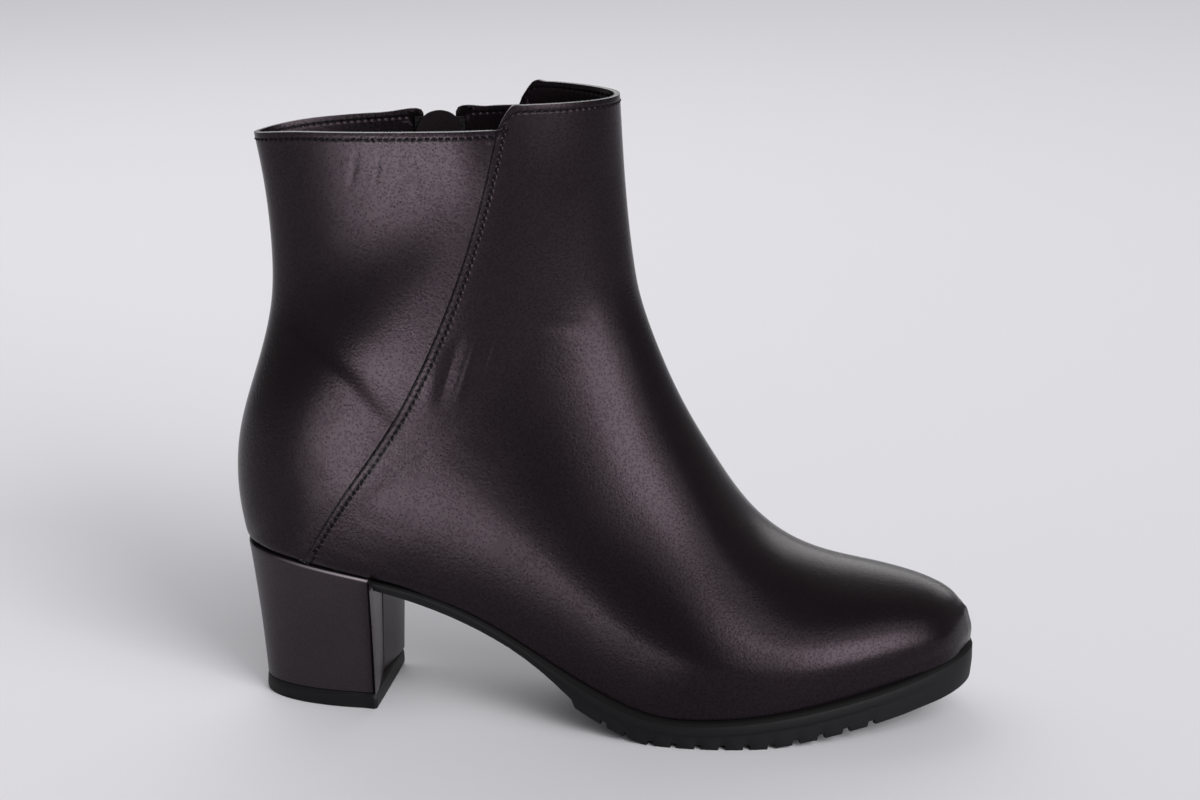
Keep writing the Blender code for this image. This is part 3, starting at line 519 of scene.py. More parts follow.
def crease_edges(piece, angle, weight):
    """Keeps edges sharper than an angle under subdivision, by a weight."""
    take(piece)
    bpy.ops.object.mode_set(mode="EDIT")
    bpy.ops.mesh.select_mode(type="EDGE")
    bpy.ops.mesh.select_all(action="DESELECT")
    bpy.ops.mesh.edges_select_sharp(sharpness=angle)
    bpy.ops.transform.edge_crease(value=weight)
    bpy.ops.mesh.select_mode(type="VERT")
    bpy.ops.object.mode_set(mode="OBJECT")


def press_creases(piece):
    """Moves the skin in and out along the soft creases."""
    points = coordinates(piece.data)
    normals = vertex_normals(piece.data)
    side_view = (points[:, (0, 2)] - (HEEL_BACK, 0.0)) / MM
    shift = np.zeros(len(points))
    for values in CREASES:
        crease = dict(zip(CREASE_COLUMNS, values))
        facing = -normals[:, 1] if crease["side"] == "lateral" else normals[:, 1]
        path = resampled(np.array(crease["path"]), 0.5)
        reach = side_view[:, None] - path[None]
        apart = np.linalg.norm(reach, axis=2)
        nearest = apart.argmin(axis=1)
        apart = apart.min(axis=1) / crease["width"]
        fade = np.sin(math.pi * (nearest + 0.5) / len(path)) ** 0.6
        bump = np.exp(-apart ** 2)
        if crease["fold"]:
            way = np.gradient(path, axis=0)[nearest]
            reach = reach[np.arange(len(reach)), nearest]
            above = way[:, 0] * reach[:, 1] - way[:, 1] * reach[:, 0] > 0
            bump = above * apart * np.exp(1 - apart)
        shift += crease["height"] * MM * bump * fade * np.clip(facing * 1.5, 0, 1)
    set_coordinates(piece.data, points + normals * shift[:, None])


def mark_lines(piece, rows, label):
    """Writes each point's distance to the nearest of some lines, and its signed distance across and along
    that line, for the pucker of the leather."""
    points = coordinates(piece.data)
    normals = vertex_normals(piece.data)
    samples, ways, runs = [], [], []
    for line in rows:
        fine = resampled(line, 0.5 * MM)
        samples.append(fine)
        ways.append(unit(np.gradient(fine, axis=0)))
        runs.append(np.arange(len(fine)) * 0.5 * MM)
    samples, ways, runs = np.vstack(samples), np.vstack(ways), np.concatenate(runs)
    tree = KDTree(len(samples))
    for number, sample in enumerate(samples):
        tree.insert(sample, number)
    tree.balance()
    nearest = np.array([tree.find(point)[1] for point in points])
    reach = points - samples[nearest]
    across = np.cross(normals, ways[nearest])
    along = np.einsum("ij,ij->i", reach, ways[nearest])
    side = np.sign(np.einsum("ij,ij->i", reach, across))
    away = np.linalg.norm(reach, axis=1)
    for name, values in (("reach", away), ("across", side * away), ("along", runs[nearest] + along)):
        attribute = piece.data.attributes.new(f"{label}_{name}", "FLOAT", "POINT")
        attribute.data.foreach_set("value", values.astype(np.float32))


def on_collar(edge):
    return edge.verts[0].co.z > COLLAR_LOW


def round_rims(piece, wall, width):
    """Thickens a skin inwards, with the lining as second finish, and rounds its rims at the collar."""
    modify(piece, "SOLIDIFY", thickness=wall, offset=-1.0, use_even_offset=False,
           material_offset=1, material_offset_rim=0)
    round_edges(piece, 62, width, 3, on_collar)


# Finishes

SHADER_SOCKETS = {
    "metallic": "Metallic",
    "sheen_weight": "Sheen Weight",
    "coat_roughness": "Coat Roughness",
    "specular_ior_level": "Specular IOR Level",
    "specular_tint": "Specular Tint",
}
LEATHER_SHINE = (1.0, 0.72, 0.89, 1.0)


class Finish:
    """A material being wired, with short ways to add nodes to it."""

    def __init__(self, name, colour, roughness, **sockets):
        self.material = bpy.data.materials.new(name)
        self.material.use_nodes = True
        self.tree = self.material.node_tree
        self.shader = self.tree.nodes["Principled BSDF"]
        self.colour = (*colour, 1.0)
        self.shader.inputs["Base Color"].default_value = self.colour
        self.shader.inputs["Roughness"].default_value = roughness
        for socket, value in sockets.items():
            self.shader.inputs[SHADER_SOCKETS[socket]].default_value = value
        self.place = self.node("ShaderNodeTexCoord").outputs["Object"]

    def node(self, kind, sockets=None, **settings):
        return add_node(self.tree, kind, sockets, **settings)

    def group(self, tree, **sockets):
        return self.node("ShaderNodeGroup", sockets, node_tree=tree)

    def link(self, output, socket):
        self.tree.links.new(output, self.shader.inputs[socket])

    def bump(self, height, distance, normal=None):
        sockets = {"Height": height, "Distance": distance, "Strength": 1.0}
        if normal:
            sockets["Normal"] = normal
        return self.node("ShaderNodeBump", sockets).outputs["Normal"]


def add_node(tree, kind, sockets=None, **settings):
    """A node with its settings, and its sockets linked or set by name or number."""
    node = tree.nodes.new(kind)
    for key, value in settings.items():
        setattr(node, key, value)
    for key, value in (sockets or {}).items():
        socket = node.inputs[key]
        if isinstance(value, bpy.types.NodeSocket):
            tree.links.new(value, socket)
        else:
            socket.default_value = value
    return node


def maths(tree, operation, *values):
    """Output of a Math node on numbers and sockets."""
    return add_node(tree, "ShaderNodeMath", dict(enumerate(values)), operation=operation).outputs[0]


def eased(tree, value, reach, start, end):
    """A value that eases from a start to an end while another goes from 0 to a reach."""
    sockets = {"Value": value, "From Max": reach, "To Min": start, "To Max": end}
    return add_node(tree, "ShaderNodeMapRange", sockets, interpolation_type="SMOOTHSTEP").outputs["Result"]


def new_group(name, inputs, outputs):
    """An empty shader group with named sockets, and its two end nodes."""
    tree = bpy.data.node_groups.new(name, "ShaderNodeTree")
    for label, kind, default in inputs:
        socket = tree.interface.new_socket(label, in_out="INPUT", socket_type=kind)
        if default is not None:
            socket.default_value = default
    for label, kind in outputs:
        tree.interface.new_socket(label, in_out="OUTPUT", socket_type=kind)
    return tree, tree.nodes.new("NodeGroupInput"), tree.nodes.new("NodeGroupOutput")


def grain_group():
    """Fine grain of leather: a soft height with specks about as wide as the size given, stronger in some
    places than in others, and a mask of dull pores about that far apart."""
    tree, start, end = new_group(
        "leather_grain",
        (("Vector", "NodeSocketVector", None), ("Size", "NodeSocketFloat", 0.001)),
        (("Height", "NodeSocketFloat"), ("Pores", "NodeSocketFloat")))
    place = start.outputs["Vector"]
    scale = maths(tree, "DIVIDE", 1.0, start.outputs["Size"])
    specks = add_node(tree, "ShaderNodeTexNoise", {"Vector": place, "Scale": scale, "Detail": 2.0,
                                                   "Roughness": 0.55})
    patches = add_node(tree, "ShaderNodeTexNoise", {"Vector": place, "Scale": 60.0, "Detail": 1.0})
    strength = add_node(tree, "ShaderNodeMapRange", {"Value": patches.outputs["Fac"], "From Min": 0.35,
                                                     "From Max": 0.65, "To Min": 0.6, "To Max": 1.3})
    height = maths(tree, "MULTIPLY", specks.outputs["Fac"], strength.outputs["Result"])
    cells = add_node(tree, "ShaderNodeTexVoronoi", {"Vector": place, "Scale": scale})
    pores = add_node(tree, "ShaderNodeMapRange", {"Value": cells.outputs["Distance"], "From Min": 0.22,
                                                  "From Max": 0.66, "To Min": 1.0, "To Max": 0.0},
                     interpolation_type="SMOOTHSTEP")
    tree.links.new(height, end.inputs["Height"])
    tree.links.new(pores.outputs["Result"], end.inputs["Pores"])
    return tree


def crease_group():
    """One fine crease, as a height below the surface beside a leaning line in the side view."""
    tree, start, end = new_group(
        "fine_crease",
        [("Vector", "NodeSocketVector", None)] + [(name, "NodeSocketFloat", 0.0) for name in FINE_COLUMNS],
        (("Height", "NodeSocketFloat"),))
    place = add_node(tree, "ShaderNodeSeparateXYZ", {0: start.outputs["Vector"]})
    up = maths(tree, "SUBTRACT", place.outputs["Z"], start.outputs["Z"])
    run = maths(tree, "SUBTRACT", place.outputs["X"], start.outputs["X"])
    lean = maths(tree, "MULTIPLY", up, start.outputs["Lean"])
    away = maths(tree, "ABSOLUTE", maths(tree, "SUBTRACT", run, lean))
    half = maths(tree, "MULTIPLY", start.outputs["Length"], 0.5)
    along = eased(tree, maths(tree, "ABSOLUTE", up), half, 1.0, 0.0)
    height = maths(tree, "MULTIPLY", eased(tree, away, start.outputs["Width"], -1.0, 0.0), along)
    tree.links.new(height, end.inputs["Height"])
    return tree


def tone_group():
    """Slow change of tone over a surface, as a colour and as a value about 0."""
    tree, start, end = new_group(
        "uneven_tone",
        (("Vector", "NodeSocketVector", None), ("Colour", "NodeSocketColor", None),
         ("Scale", "NodeSocketFloat", 30.0), ("Amount", "NodeSocketFloat", 0.2)),
        (("Colour", "NodeSocketColor"), ("Change", "NodeSocketFloat")))
    noise = add_node(tree, "ShaderNodeTexNoise", {"Vector": start.outputs["Vector"],
                                                  "Scale": start.outputs["Scale"], "Detail": 4.0})
    centred = maths(tree, "SUBTRACT", noise.outputs["Fac"], 0.5)
    change = maths(tree, "MULTIPLY", centred, start.outputs["Amount"])
    gain = maths(tree, "ADD", change, 1.0)
    colour = add_node(tree, "ShaderNodeVectorMath", {0: start.outputs["Colour"], "Scale": gain},
                      operation="SCALE")
    tree.links.new(colour.outputs[0], end.inputs["Colour"])
    tree.links.new(change, end.inputs["Change"])
    return tree


def shared_group(name, make):
    """A shader group, built the first time that it is asked for."""
    return bpy.data.node_groups.get(name) or make()


def uneven(finish, scale, tint, roughness, sheen):
    """Wires uneven tone into a finish's colour, as strong as the tint, and its roughness, by the sheen."""
    tone = finish.group(shared_group("uneven_tone", tone_group), Vector=finish.place,
                        Colour=finish.colour, Scale=scale, Amount=tint)
    finish.link(tone.outputs["Colour"], "Base Color")
    change = maths(finish.tree, "MULTIPLY_ADD", tone.outputs["Change"], sheen, roughness)
    finish.link(change, "Roughness")
    return tone


def leather_finish(name, colour, grain, depth, roughness, coat, pitch=0.0, rim_highlight=None):
    """Satin leather with fine grain and a thin coat that its pores break, with puckers along its stitches
    where it is sewn, and a painted highlight, a light colour, where its points are marked for it."""
    finish = Finish(name, colour, roughness, specular_ior_level=0.125, specular_tint=LEATHER_SHINE,
                    coat_roughness=roughness)
    pebbles = finish.group(shared_group("leather_grain", grain_group), Vector=finish.place, Size=grain)
    polish = maths(finish.tree, "MULTIPLY_ADD", pebbles.outputs["Pores"], -coat, coat)
    finish.link(polish, "Coat Weight")
    tone = uneven(finish, 45.0, tint=0.35, roughness=roughness, sheen=0.2)
    # Painted highlight: a light colour mixed in where the heel's top rim is marked.
    if rim_highlight:
        edge = finish.node("ShaderNodeAttribute", attribute_name="rim_highlight")
        mixed = finish.node("ShaderNodeMix", {"Factor": edge.outputs["Fac"], "A": tone.outputs["Colour"],
                                              "B": (*rim_highlight, 1.0)}, data_type="RGBA")
        finish.link(mixed.outputs["Result"], "Base Color")
    normal = finish.bump(pebbles.outputs["Height"], depth)
    if pitch:
        normal = finish.bump(pucker(finish, pitch), PUCKER_DEPTH, normal)
        normal = finish.bump(fine_creases(finish), CREASE_DEPTH, normal)
    finish.link(normal, "Normal")
    return finish.material


def fine_creases(finish):
    """Height of all fine creases together."""
    total = None
    for values in FINE_CREASES:
        crease = dict(zip(FINE_COLUMNS, (value * MM for value in values)))
        crease["X"] += HEEL_BACK
        crease["Lean"] /= MM
        line = finish.group(shared_group("fine_crease", crease_group), Vector=finish.place, **crease)
        height = line.outputs["Height"]
        total = maths(finish.tree, "ADD", total, height) if total else height
    return total


def pucker(finish, pitch):
    """Height of sewn leather: a furrow along the stitches with swellings between them beside it, and a
    narrow line along the edges of the panels."""
    tree = finish.tree

    def mark(name):
        return finish.node("ShaderNodeAttribute", attribute_name=name).outputs["Fac"]

    def groove(label, width, near):
        across = maths(tree, "ABSOLUTE", mark(f"{label}_across"))
        return maths(tree, "MULTIPLY", eased(tree, across, width, -1.0, 0.0), near)

    near = eased(tree, mark("stitch_reach"), STITCH_REACH, 1.0, 0.0)
    wave = maths(tree, "COSINE", maths(tree, "MULTIPLY", mark("stitch_along"), 2 * math.pi / pitch))
    share = maths(tree, "MULTIPLY_ADD", wave, -0.35, 0.6)
    broken = maths(tree, "MULTIPLY", groove("stitch", FURROW_REACH, near), share)
    sewn = maths(tree, "MULTIPLY_ADD", maths(tree, "MULTIPLY", wave, near), 0.05, broken)
    beside = eased(tree, mark("edge_reach"), EDGE_REACH, 1.0, 0.0)
    return maths(tree, "ADD", sewn, groove("edge", EDGE_LINE_REACH, beside))


def lining_finish(name, colour):
    """Dark lining leather, smoother and duller than the outside."""
    finish = Finish(name, colour, 0.45, specular_ior_level=0.18)
    uneven(finish, 60.0, tint=0.3, roughness=0.45, sheen=0.4)
    pebbles = finish.group(shared_group("leather_grain", grain_group), Vector=finish.place, Size=0.0011)
    finish.link(finish.bump(pebbles.outputs["Height"], 0.00004), "Normal")
    return finish.material


def rubber_finish(name, colour, roughness, specular=0.16):
    """Moulded rubber: matt, with a fine eroded texture and slightly uneven tone."""
    finish = Finish(name, colour, roughness, specular_ior_level=specular)
    uneven(finish, 80.0, tint=0.4, roughness=roughness, sheen=0.3)
    fine = finish.node("ShaderNodeTexNoise", {"Vector": finish.place, "Scale": 2600.0, "Detail": 3.0})
    finish.link(finish.bump(fine.outputs["Fac"], 0.00004), "Normal")
    return finish.material


def thread_finish(name, colour):
    """Twisted sewing thread."""
    finish = Finish(name, colour, 0.7, specular_ior_level=0.05)
    twist = finish.node("ShaderNodeTexNoise", {"Vector": finish.place, "Scale": 5200.0, "Detail": 1.0})
    finish.link(finish.bump(twist.outputs["Fac"], 0.00008), "Normal")
    uneven(finish, 400.0, tint=0.5, roughness=0.7, sheen=0.2)
    return finish.material


def tape_finish(name, colour):
    """Woven tape: ribs along and across it."""
    finish = Finish(name, colour, 0.8, sheen_weight=0.04, specular_ior_level=0.2)
    uneven(finish, 150.0, tint=0.4, roughness=0.8, sheen=0.1)
    ribs = [finish.node("ShaderNodeTexWave", {"Vector": finish.place, "Scale": 220.0}, bands_direction=axis)
            for axis in ("X", "Z")]
    weave = maths(finish.tree, "MULTIPLY", *(rib.outputs["Fac"] for rib in ribs))
    finish.link(finish.bump(weave, 0.00025), "Normal")
    return finish.material


def metal_finish(name, colour):
    """Dark plated metal with a satin brush."""
    finish = Finish(name, colour, 0.34, metallic=1.0)
    brush = finish.node("ShaderNodeTexNoise", {"Vector": finish.place, "Scale": 900.0, "Detail": 4.0})
    finish.link(finish.bump(brush.outputs["Fac"], 0.00003), "Normal")
    uneven(finish, 250.0, tint=0.3, roughness=0.34, sheen=0.5)
    return finish.material


def coil_finish(name, colour):
    """Smooth nylon coil."""
    finish = Finish(name, colour, 0.38)
    uneven(finish, 300.0, tint=0.3, roughness=0.38, sheen=0.3)
    return finish.material


# Pieces

def squares_of(node, name, angle):
    """A copy of a solid of the frame with its triangles joined to squares."""
    piece = copied_node(node, name)
    bpy.ops.object.mode_set(mode="EDIT")
    bpy.ops.mesh.select_all(action="SELECT")
    bpy.ops.mesh.tris_convert_to_quads(face_threshold=angle, shape_threshold=math.pi,
                                       topology_influence=1.5)
    bpy.ops.object.mode_set(mode="OBJECT")
    return piece


def smooth_squares(piece, angle, weight, levels):
    """Smooths a piece by subdivision except at edges sharper than an angle."""
    crease_edges(piece, angle, weight)
    smooth = piece.modifiers.new("Smooth", "SUBSURF")
    smooth.levels = levels
    smooth.render_levels = levels
    fit_cage(piece)
    bpy.ops.object.modifier_apply(modifier=smooth.name)


def smooth_copy(node, name, angle=40.0, weight=0.9, levels=2):
    """A solid of the frame as squares, smoothed by subdivision except at its sharp edges."""
    piece = squares_of(node, name, math.radians(angle))
    smooth_squares(piece, math.radians(angle), weight, levels)
    take(piece)
    bpy.ops.object.shade_smooth_by_angle(angle=math.radians(angle))
    return piece


def upright(edge):
    return abs((edge.verts[0].co - edge.verts[1].co).normalized().z) > 0.7


def round_edges(piece, sharpness, width, segments, wanted, clamp=True):
    """Rounds the edges of a piece that are sharper than an angle in degrees and wanted."""
    take(piece)
    bpy.ops.object.mode_set(mode="EDIT")
    bpy.ops.mesh.select_mode(type="EDGE")
    bpy.ops.mesh.select_all(action="DESELECT")
    bpy.ops.mesh.edges_select_sharp(sharpness=math.radians(sharpness))
    bm = bmesh.from_edit_mesh(piece.data)
    for edge in bm.edges:
        edge.select_set(edge.select and wanted(edge))
    bm.select_flush_mode()
    bpy.ops.mesh.bevel(offset=width, segments=segments, profile=0.5, affect="EDGES", clamp_overlap=clamp)
    bpy.ops.mesh.select_mode(type="VERT")
    bpy.ops.object.mode_set(mode="OBJECT")


class BOOT_OT_upper(Operator):
    """Leather upper: a smooth skin over the solid, creased, thickened and rounded at the collar"""

    bl_idname = "boot.upper"
    bl_label = "Leather Upper"

    def execute(self, context):
        sizes = context.scene.boot_sizes
        colours = context.scene.boot_colours
        piece = copied_node("upper", "upper_leather")
        lines = shaped_skin(piece, sizes)
        smooth_squares(piece, math.radians(35), 0.8, sizes.smoothing)
        mark_lines(piece, [edge for edge, _ in lines.panel_edges()], "edge")
        self.even_foot(piece, sizes.even_reach, sizes.even_height)
        press_creases(piece)
        mark_lines(piece, stitch_lines(lines, sizes), "stitch")
        round_rims(piece, sizes.wall, sizes.rim_round)
        take(piece)
        bpy.ops.object.shade_smooth_by_angle(angle=math.radians(40))
        leather = leather_finish("upper_leather", colours.leather, grain=sizes.grain, depth=0.00008,
                                 roughness=0.27, coat=0.12, pitch=sizes.stitch_pitch)
        dress(piece, [leather, lining_finish("lining", colours.lining)], "upper")
        return {"FINISHED"}

    def even_foot(self, piece, reach, height):
        """Evens the skin at the feet of the panel edges, where the grid's columns run close together."""
        mesh = piece.data
        away = np.empty(len(mesh.vertices), np.float32)
        mesh.attributes["edge_reach"].data.foreach_get("value", away)
        share = np.clip(away / (2 * MM) - 0.8, 0, 1) * np.clip(4 - 4 * away / reach, 0, 1)
        share *= np.clip(4 - 4 * coordinates(mesh)[:, 2] / height, 0, 1)
        uses = np.bincount([loop.edge_index for loop in mesh.loops])
        for edge in np.nonzero(uses == 1)[0]:
            share[list(mesh.edges[edge].vertices)] = 0
        group = piece.vertex_groups.new(name="even")
        for number in np.nonzero(share)[0]:
            group.add([int(number)], float(share[number]), "REPLACE")
        modify(piece, "SMOOTH", factor=0.5, iterations=24, vertex_group="even")
        piece.vertex_groups.clear()


def capsule(length, thick, sides=8):
    """Points and faces of one stitch, a bar with round ends along x."""
    rings = ((-0.46, 0.55), (-0.34, 0.92), (0.0, 1.0), (0.34, 0.92), (0.46, 0.55))
    points = []
    for along, round_share in rings:
        for turn in np.arange(sides) * 2 * math.pi / sides:
            reach = thick / 2 * round_share
            points.append((along * length, reach * math.cos(turn), reach * math.sin(turn)))
    last = sides * (len(rings) - 1)
    faces = [tuple(range(sides)), tuple(last + i for i in reversed(range(sides)))]
    for ring in range(0, last, sides):
        for i in range(sides):
            j = (i + 1) % sides
            faces.append((ring + i, ring + sides + i, ring + sides + j, ring + j))
    return np.array(points), faces


def scattered(name, shape, places):
    """One piece from a shape repeated at places, each given as origin, along, across and up."""
    points, faces = shape
    all_points, all_faces = [], []
    for origin, along, across, up in places:
        base = len(all_points) * len(points)
        all_points.append(origin + points[:, :1] * along + points[:, 1:2] * across + points[:, 2:] * up)
        all_faces += [tuple(base + i for i in face) for face in faces]
    return new_mesh_piece(name, np.vstack(all_points), all_faces)


class BOOT_OT_stitching(Operator):
    """Stitches along the panel edges, the collar and the zip"""

    bl_idname = "boot.stitching"
    bl_label = "Stitching"

    def execute(self, context):
        sizes = context.scene.boot_sizes
        skin = copied_node("upper", "skin_guide")
        lines = stitch_lines(shaped_skin(skin, sizes), sizes)
        bpy.data.objects.remove(skin, do_unlink=True)
        upper = bpy.data.objects["upper_leather"]
        places = []
        for line in lines:
            knots = resampled(line, sizes.stitch_pitch)
            for first, second in zip(knots[:-1], knots[1:]):
                _, place, normal, _ = upper.closest_point_on_mesh((first + second) / 2)
                along = unit(second - first)
                across = unit(np.cross(normal, along))
                up = np.cross(along, across)
                places.append((np.array(place) + up * sizes.thread * 0.1, along, across, up))
        piece = scattered("upper_stitching", capsule(sizes.stitch_length, sizes.thread), places)
        take(piece)
        bpy.ops.object.shade_smooth()
        dress(piece, [thread_finish("thread", context.scene.boot_colours.thread)])
        return {"FINISHED"}


def sole_rings(sizes):
    """Rings of the outsole's solid along its length, each as lateral and medial points: top edge, rim,
    foot of the rim's step, lower edge, edge of the middle groove and its floor."""
    points = np.unique(coordinates(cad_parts["outsole"].data).round(7), axis=0)
    starts = np.nonzero(np.diff(points[:, 0], prepend=-1.0) > MERGE)[0]
    rings = []
    for ring in np.split(points, starts[1:]):
        x = ring[0, 0]
        middle = (ring[:, 1].min() + ring[:, 1].max()) / 2
        sides = []
        for sign in (-1, 1):
            side = ring[sign * (ring[:, 1] - middle) > 0]
            side = side[np.lexsort((-side[:, 2], -sign * side[:, 1].round(6)))]
            half = min(sizes.groove_half, abs(side[3, 1] - middle) / 4)
            floor = side[5, 2] if len(side) > 5 else side[3, 2]
            groove = [(x, middle + sign * half, side[3, 2]), (x, middle + sign * half * 0.8, floor)]
            sides.append(np.vstack((side[:4], groove)))
        rings.append(sides)
    return np.array(rings)


def sole_profile(top, rim, low, plain, sizes):
    """Edge of the outsole from its top inwards of the rim down to its tread, as inset and height. Where it
    is plain the tread stands flush with the rim."""
    band = top - rim
    edge = min(sizes.rim_edge, band * 0.45)
    turn = np.radians((90, 62, 34, 8))
    profile = [(edge + 1.4 * MM, top)]
    profile += list(zip(edge - edge * np.cos(turn), top - edge + edge * np.sin(turn)))
    lip = min(0.4 * MM, band * 0.15) * (1 - plain)
    profile += [(0.0, rim + lip), (lip * 0.25, rim + lip * 0.3), (lip, rim)]
    step = sizes.rim_step * (1 - plain)
    wall = max(rim - low, 0.8 * MM)
    profile += [(step, rim - 0.12 * wall), (step + 0.02 * MM, rim - 0.2 * wall)]
    profile += [(step + 0.5 * MM, low + 0.16 * wall), (step + 0.65 * MM, low + 0.05 * wall)]
    profile += [(step + 0.95 * MM, low), (step + 2.6 * MM, low)]
    return np.array(profile)


class BOOT_OT_sole(Operator):
    """Outsole: smooth rim with a rounded top edge, set-back tread with notches, and a thin waist"""

    bl_idname = "boot.sole"
    bl_label = "Outsole"

    def execute(self, context):
        sizes = context.scene.boot_sizes
        rings = sole_rings(sizes)
        count = len(rings)
        outline = np.vstack((rings[:, 0, 0], rings[::-1, 1, 0]))
        levels = np.vstack((rings[:, 0, :, 2], rings[::-1, 1, :, 2]))
        way = unit(np.gradient(outline[:, :2], axis=0))
        inward = np.column_stack((-way[:, 1], way[:, 0]))
        points, faces = [], []
        tip = outline[:, 0].max()
        for place, normal, level in zip(outline, inward, levels):
            plain = min(max((place[0] - tip) / sizes.toe_cap + 2, 0), 1)
            for inset, height in sole_profile(level[0], level[1], level[3], plain, sizes):
                points.append((*(place[:2] + normal * inset), height))
        wide = len(points) // len(outline)

        def at(i, k):
            return i * wide + k

        def other(i):
            return 2 * count - 1 - i

        for i in range(2 * count - 1):
            for k in range(wide - 1):
                faces.append((at(i, k), at(i + 1, k), at(i + 1, k + 1), at(i, k + 1)))
        last = int(np.nonzero(rings[:, 0, 0, 0] < tip - sizes.toe_cap)[0][-1])
        groove = []
        for ring in rings[:last + 1]:
            groove.append(len(points))
            points += [tuple(ring[side, level]) for side, level in ((0, 4), (0, 5), (1, 5), (1, 4))]
        for i in range(last):
            low = wide - 1
            a, b = groove[i], groove[i + 1]
            faces.append((at(i, low), at(i + 1, low), b, a))
            for k in range(3):
                faces.append((a + k, b + k, b + k + 1, a + k + 1))
            faces.append((a + 3, b + 3, at(other(i + 1), low), at(other(i), low)))
            faces.append((at(i, 0), at(other(i), 0), at(other(i + 1), 0), at(i + 1, 0)))
        around = range(last, other(last) + 1)
        faces.append([at(i, wide - 1) for i in around] + [groove[last] + k for k in (3, 2, 1, 0)])
        faces.append([at(i, 0) for i in reversed(around)])
        faces.append([at(0, k) for k in range(wide)] + [groove[0] + k for k in range(4)]
                     + [at(other(0), k) for k in reversed(range(wide))])
        piece = new_mesh_piece("outsole_rubber", points, faces)
        take(piece)
        bpy.ops.object.mode_set(mode="EDIT")
        bpy.ops.mesh.select_all(action="SELECT")
        bpy.ops.mesh.normals_make_consistent(inside=False)
        bpy.ops.object.mode_set(mode="OBJECT")
        bpy.ops.object.shade_smooth_by_angle(angle=math.radians(38))
        rubber = rubber_finish("sole_rubber", context.scene.boot_colours.rubber, 0.55)
        # Darker, duller rubber for the top edge; its darker colour is painted shade of the gap under the
        # upper.
        edge = rubber_finish("sole_edge_shade", context.scene.boot_colours.edge, 0.8, specular=0.15)
        dress(piece, [rubber, edge], "outsole")
        for face in piece.data.polygons[:(2 * count - 1) * (wide - 1)]:
            face.material_index = int(face.index % (wide - 1) < EDGE_FACES)
        return {"FINISHED"}


class BOOT_OT_heel(Operator):
    """Covered heel block and its rubber top piece"""

    bl_idname = "boot.heel"
    bl_label = "Heel"

    def execute(self, context):
        colours = context.scene.boot_colours
        sizes = context.scene.boot_sizes
        block = squares_of("heel_block", "heel_cover", math.radians(40))
        round_edges(block, 50, sizes.heel_corner, 3, upright)
        smooth_squares(block, math.radians(40), 1.0, 2)
        round_edges(block, 50, sizes.heel_rim, 3, self.top_rim, clamp=False)
        self.breast(block, sizes.heel_hollow, sizes.heel_seam)
        # The heel's top rim is marked for a painted highlight in a light colour.
        self.mark_rim_highlight(block, sizes.heel_tuck_length)
        bpy.ops.object.shade_smooth_by_angle(angle=math.radians(30))
        cover = leather_finish("heel_cover", colours.cover, grain=0.0006, depth=0.00001, roughness=0.33,
                               coat=0.15, rim_highlight=colours.rim_highlight)
        dress(block, [cover], "heel_block")
        lift = smooth_copy("heel_top_piece", "heel_lift", angle=40.0, weight=0.9)
        rubber = rubber_finish("top_piece_rubber", colours.rubber, 0.55)
        dress(lift, [rubber], "heel_top_piece")
        return {"FINISHED"}

    def top_rim(self, edge):
        return not upright(edge) and edge.verts[0].co.z > HEEL_RIM_LOW

    def mark_rim_highlight(self, piece, reach):
        """Marks the rounded rim at the heel's top for a painted highlight, stronger towards the front."""
        rise = vertex_normals(piece.data)[:, 2]
        points = coordinates(piece.data)
        ahead = np.clip((points[:, 0] - points[:, 0].min()) / reach - 0.2, 0, 0.5) * 2
        rim = np.clip((rise - 0.1) / 0.2, 0, 1) * (rise < 0.93) * ahead
        attribute = piece.data.attributes.new("rim_highlight", "FLOAT", "POINT")
        attribute.data.foreach_set("value", rim.astype(np.float32))

    def breast(self, piece, hollow, seam):
        """Hollows the heel's front towards its middle, where a seam runs from top to foot."""
        points = coordinates(piece.data)
        front = points[vertex_normals(piece.data)[:, 0] > 0.9]
        middle = (front[:, 1].min() + front[:, 1].max()) / 2
        half = np.polyfit(front[:, 2], abs(front[:, 1] - middle), 1)
        face = np.polyfit(front[:, 2], front[:, 0], 1)
        take(piece)
        bpy.ops.object.mode_set(mode="EDIT")
        for place in (middle - seam, middle, middle + seam):
            bpy.ops.mesh.select_all(action="SELECT")
            bpy.ops.mesh.bisect(plane_co=(0.0, place, 0.0), plane_no=(0.0, 1.0, 0.0))
        bpy.ops.object.mode_set(mode="OBJECT")
        points = coordinates(piece.data)
        near = points[:, 0] > np.polyval(face, points[:, 2]) - 3 * hollow
        away = abs(points[:, 1] - middle)
        share = np.clip(1 - away / np.polyval(half, points[:, 2]), 0, 1)
        depth = hollow * share + seam * np.clip(1 - away / seam, 0, 1)
        points[near, 0] -= depth[near]
        set_coordinates(piece.data, points)


class BOOT_OT_insole(Operator):
    """Insole with its sock lining"""

    bl_idname = "boot.insole"
    bl_label = "Insole"

    def execute(self, context):
        piece = smooth_copy("insole", "insole_sock", angle=40.0, weight=0.8)
        dress(piece, [lining_finish("insole_lining", context.scene.boot_colours.lining)],
              "insole")
        return {"FINISHED"}


def centre_line(node):
    """A strip's middle x and y as functions of height, and its lowest and highest height."""
    points = coordinates(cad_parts[node].data)
    heights = points[:, 2]
    line = [np.poly1d(np.polyfit(heights, points[:, axis], 4)) for axis in (0, 1)]
    return line, heights.min(), heights.max()


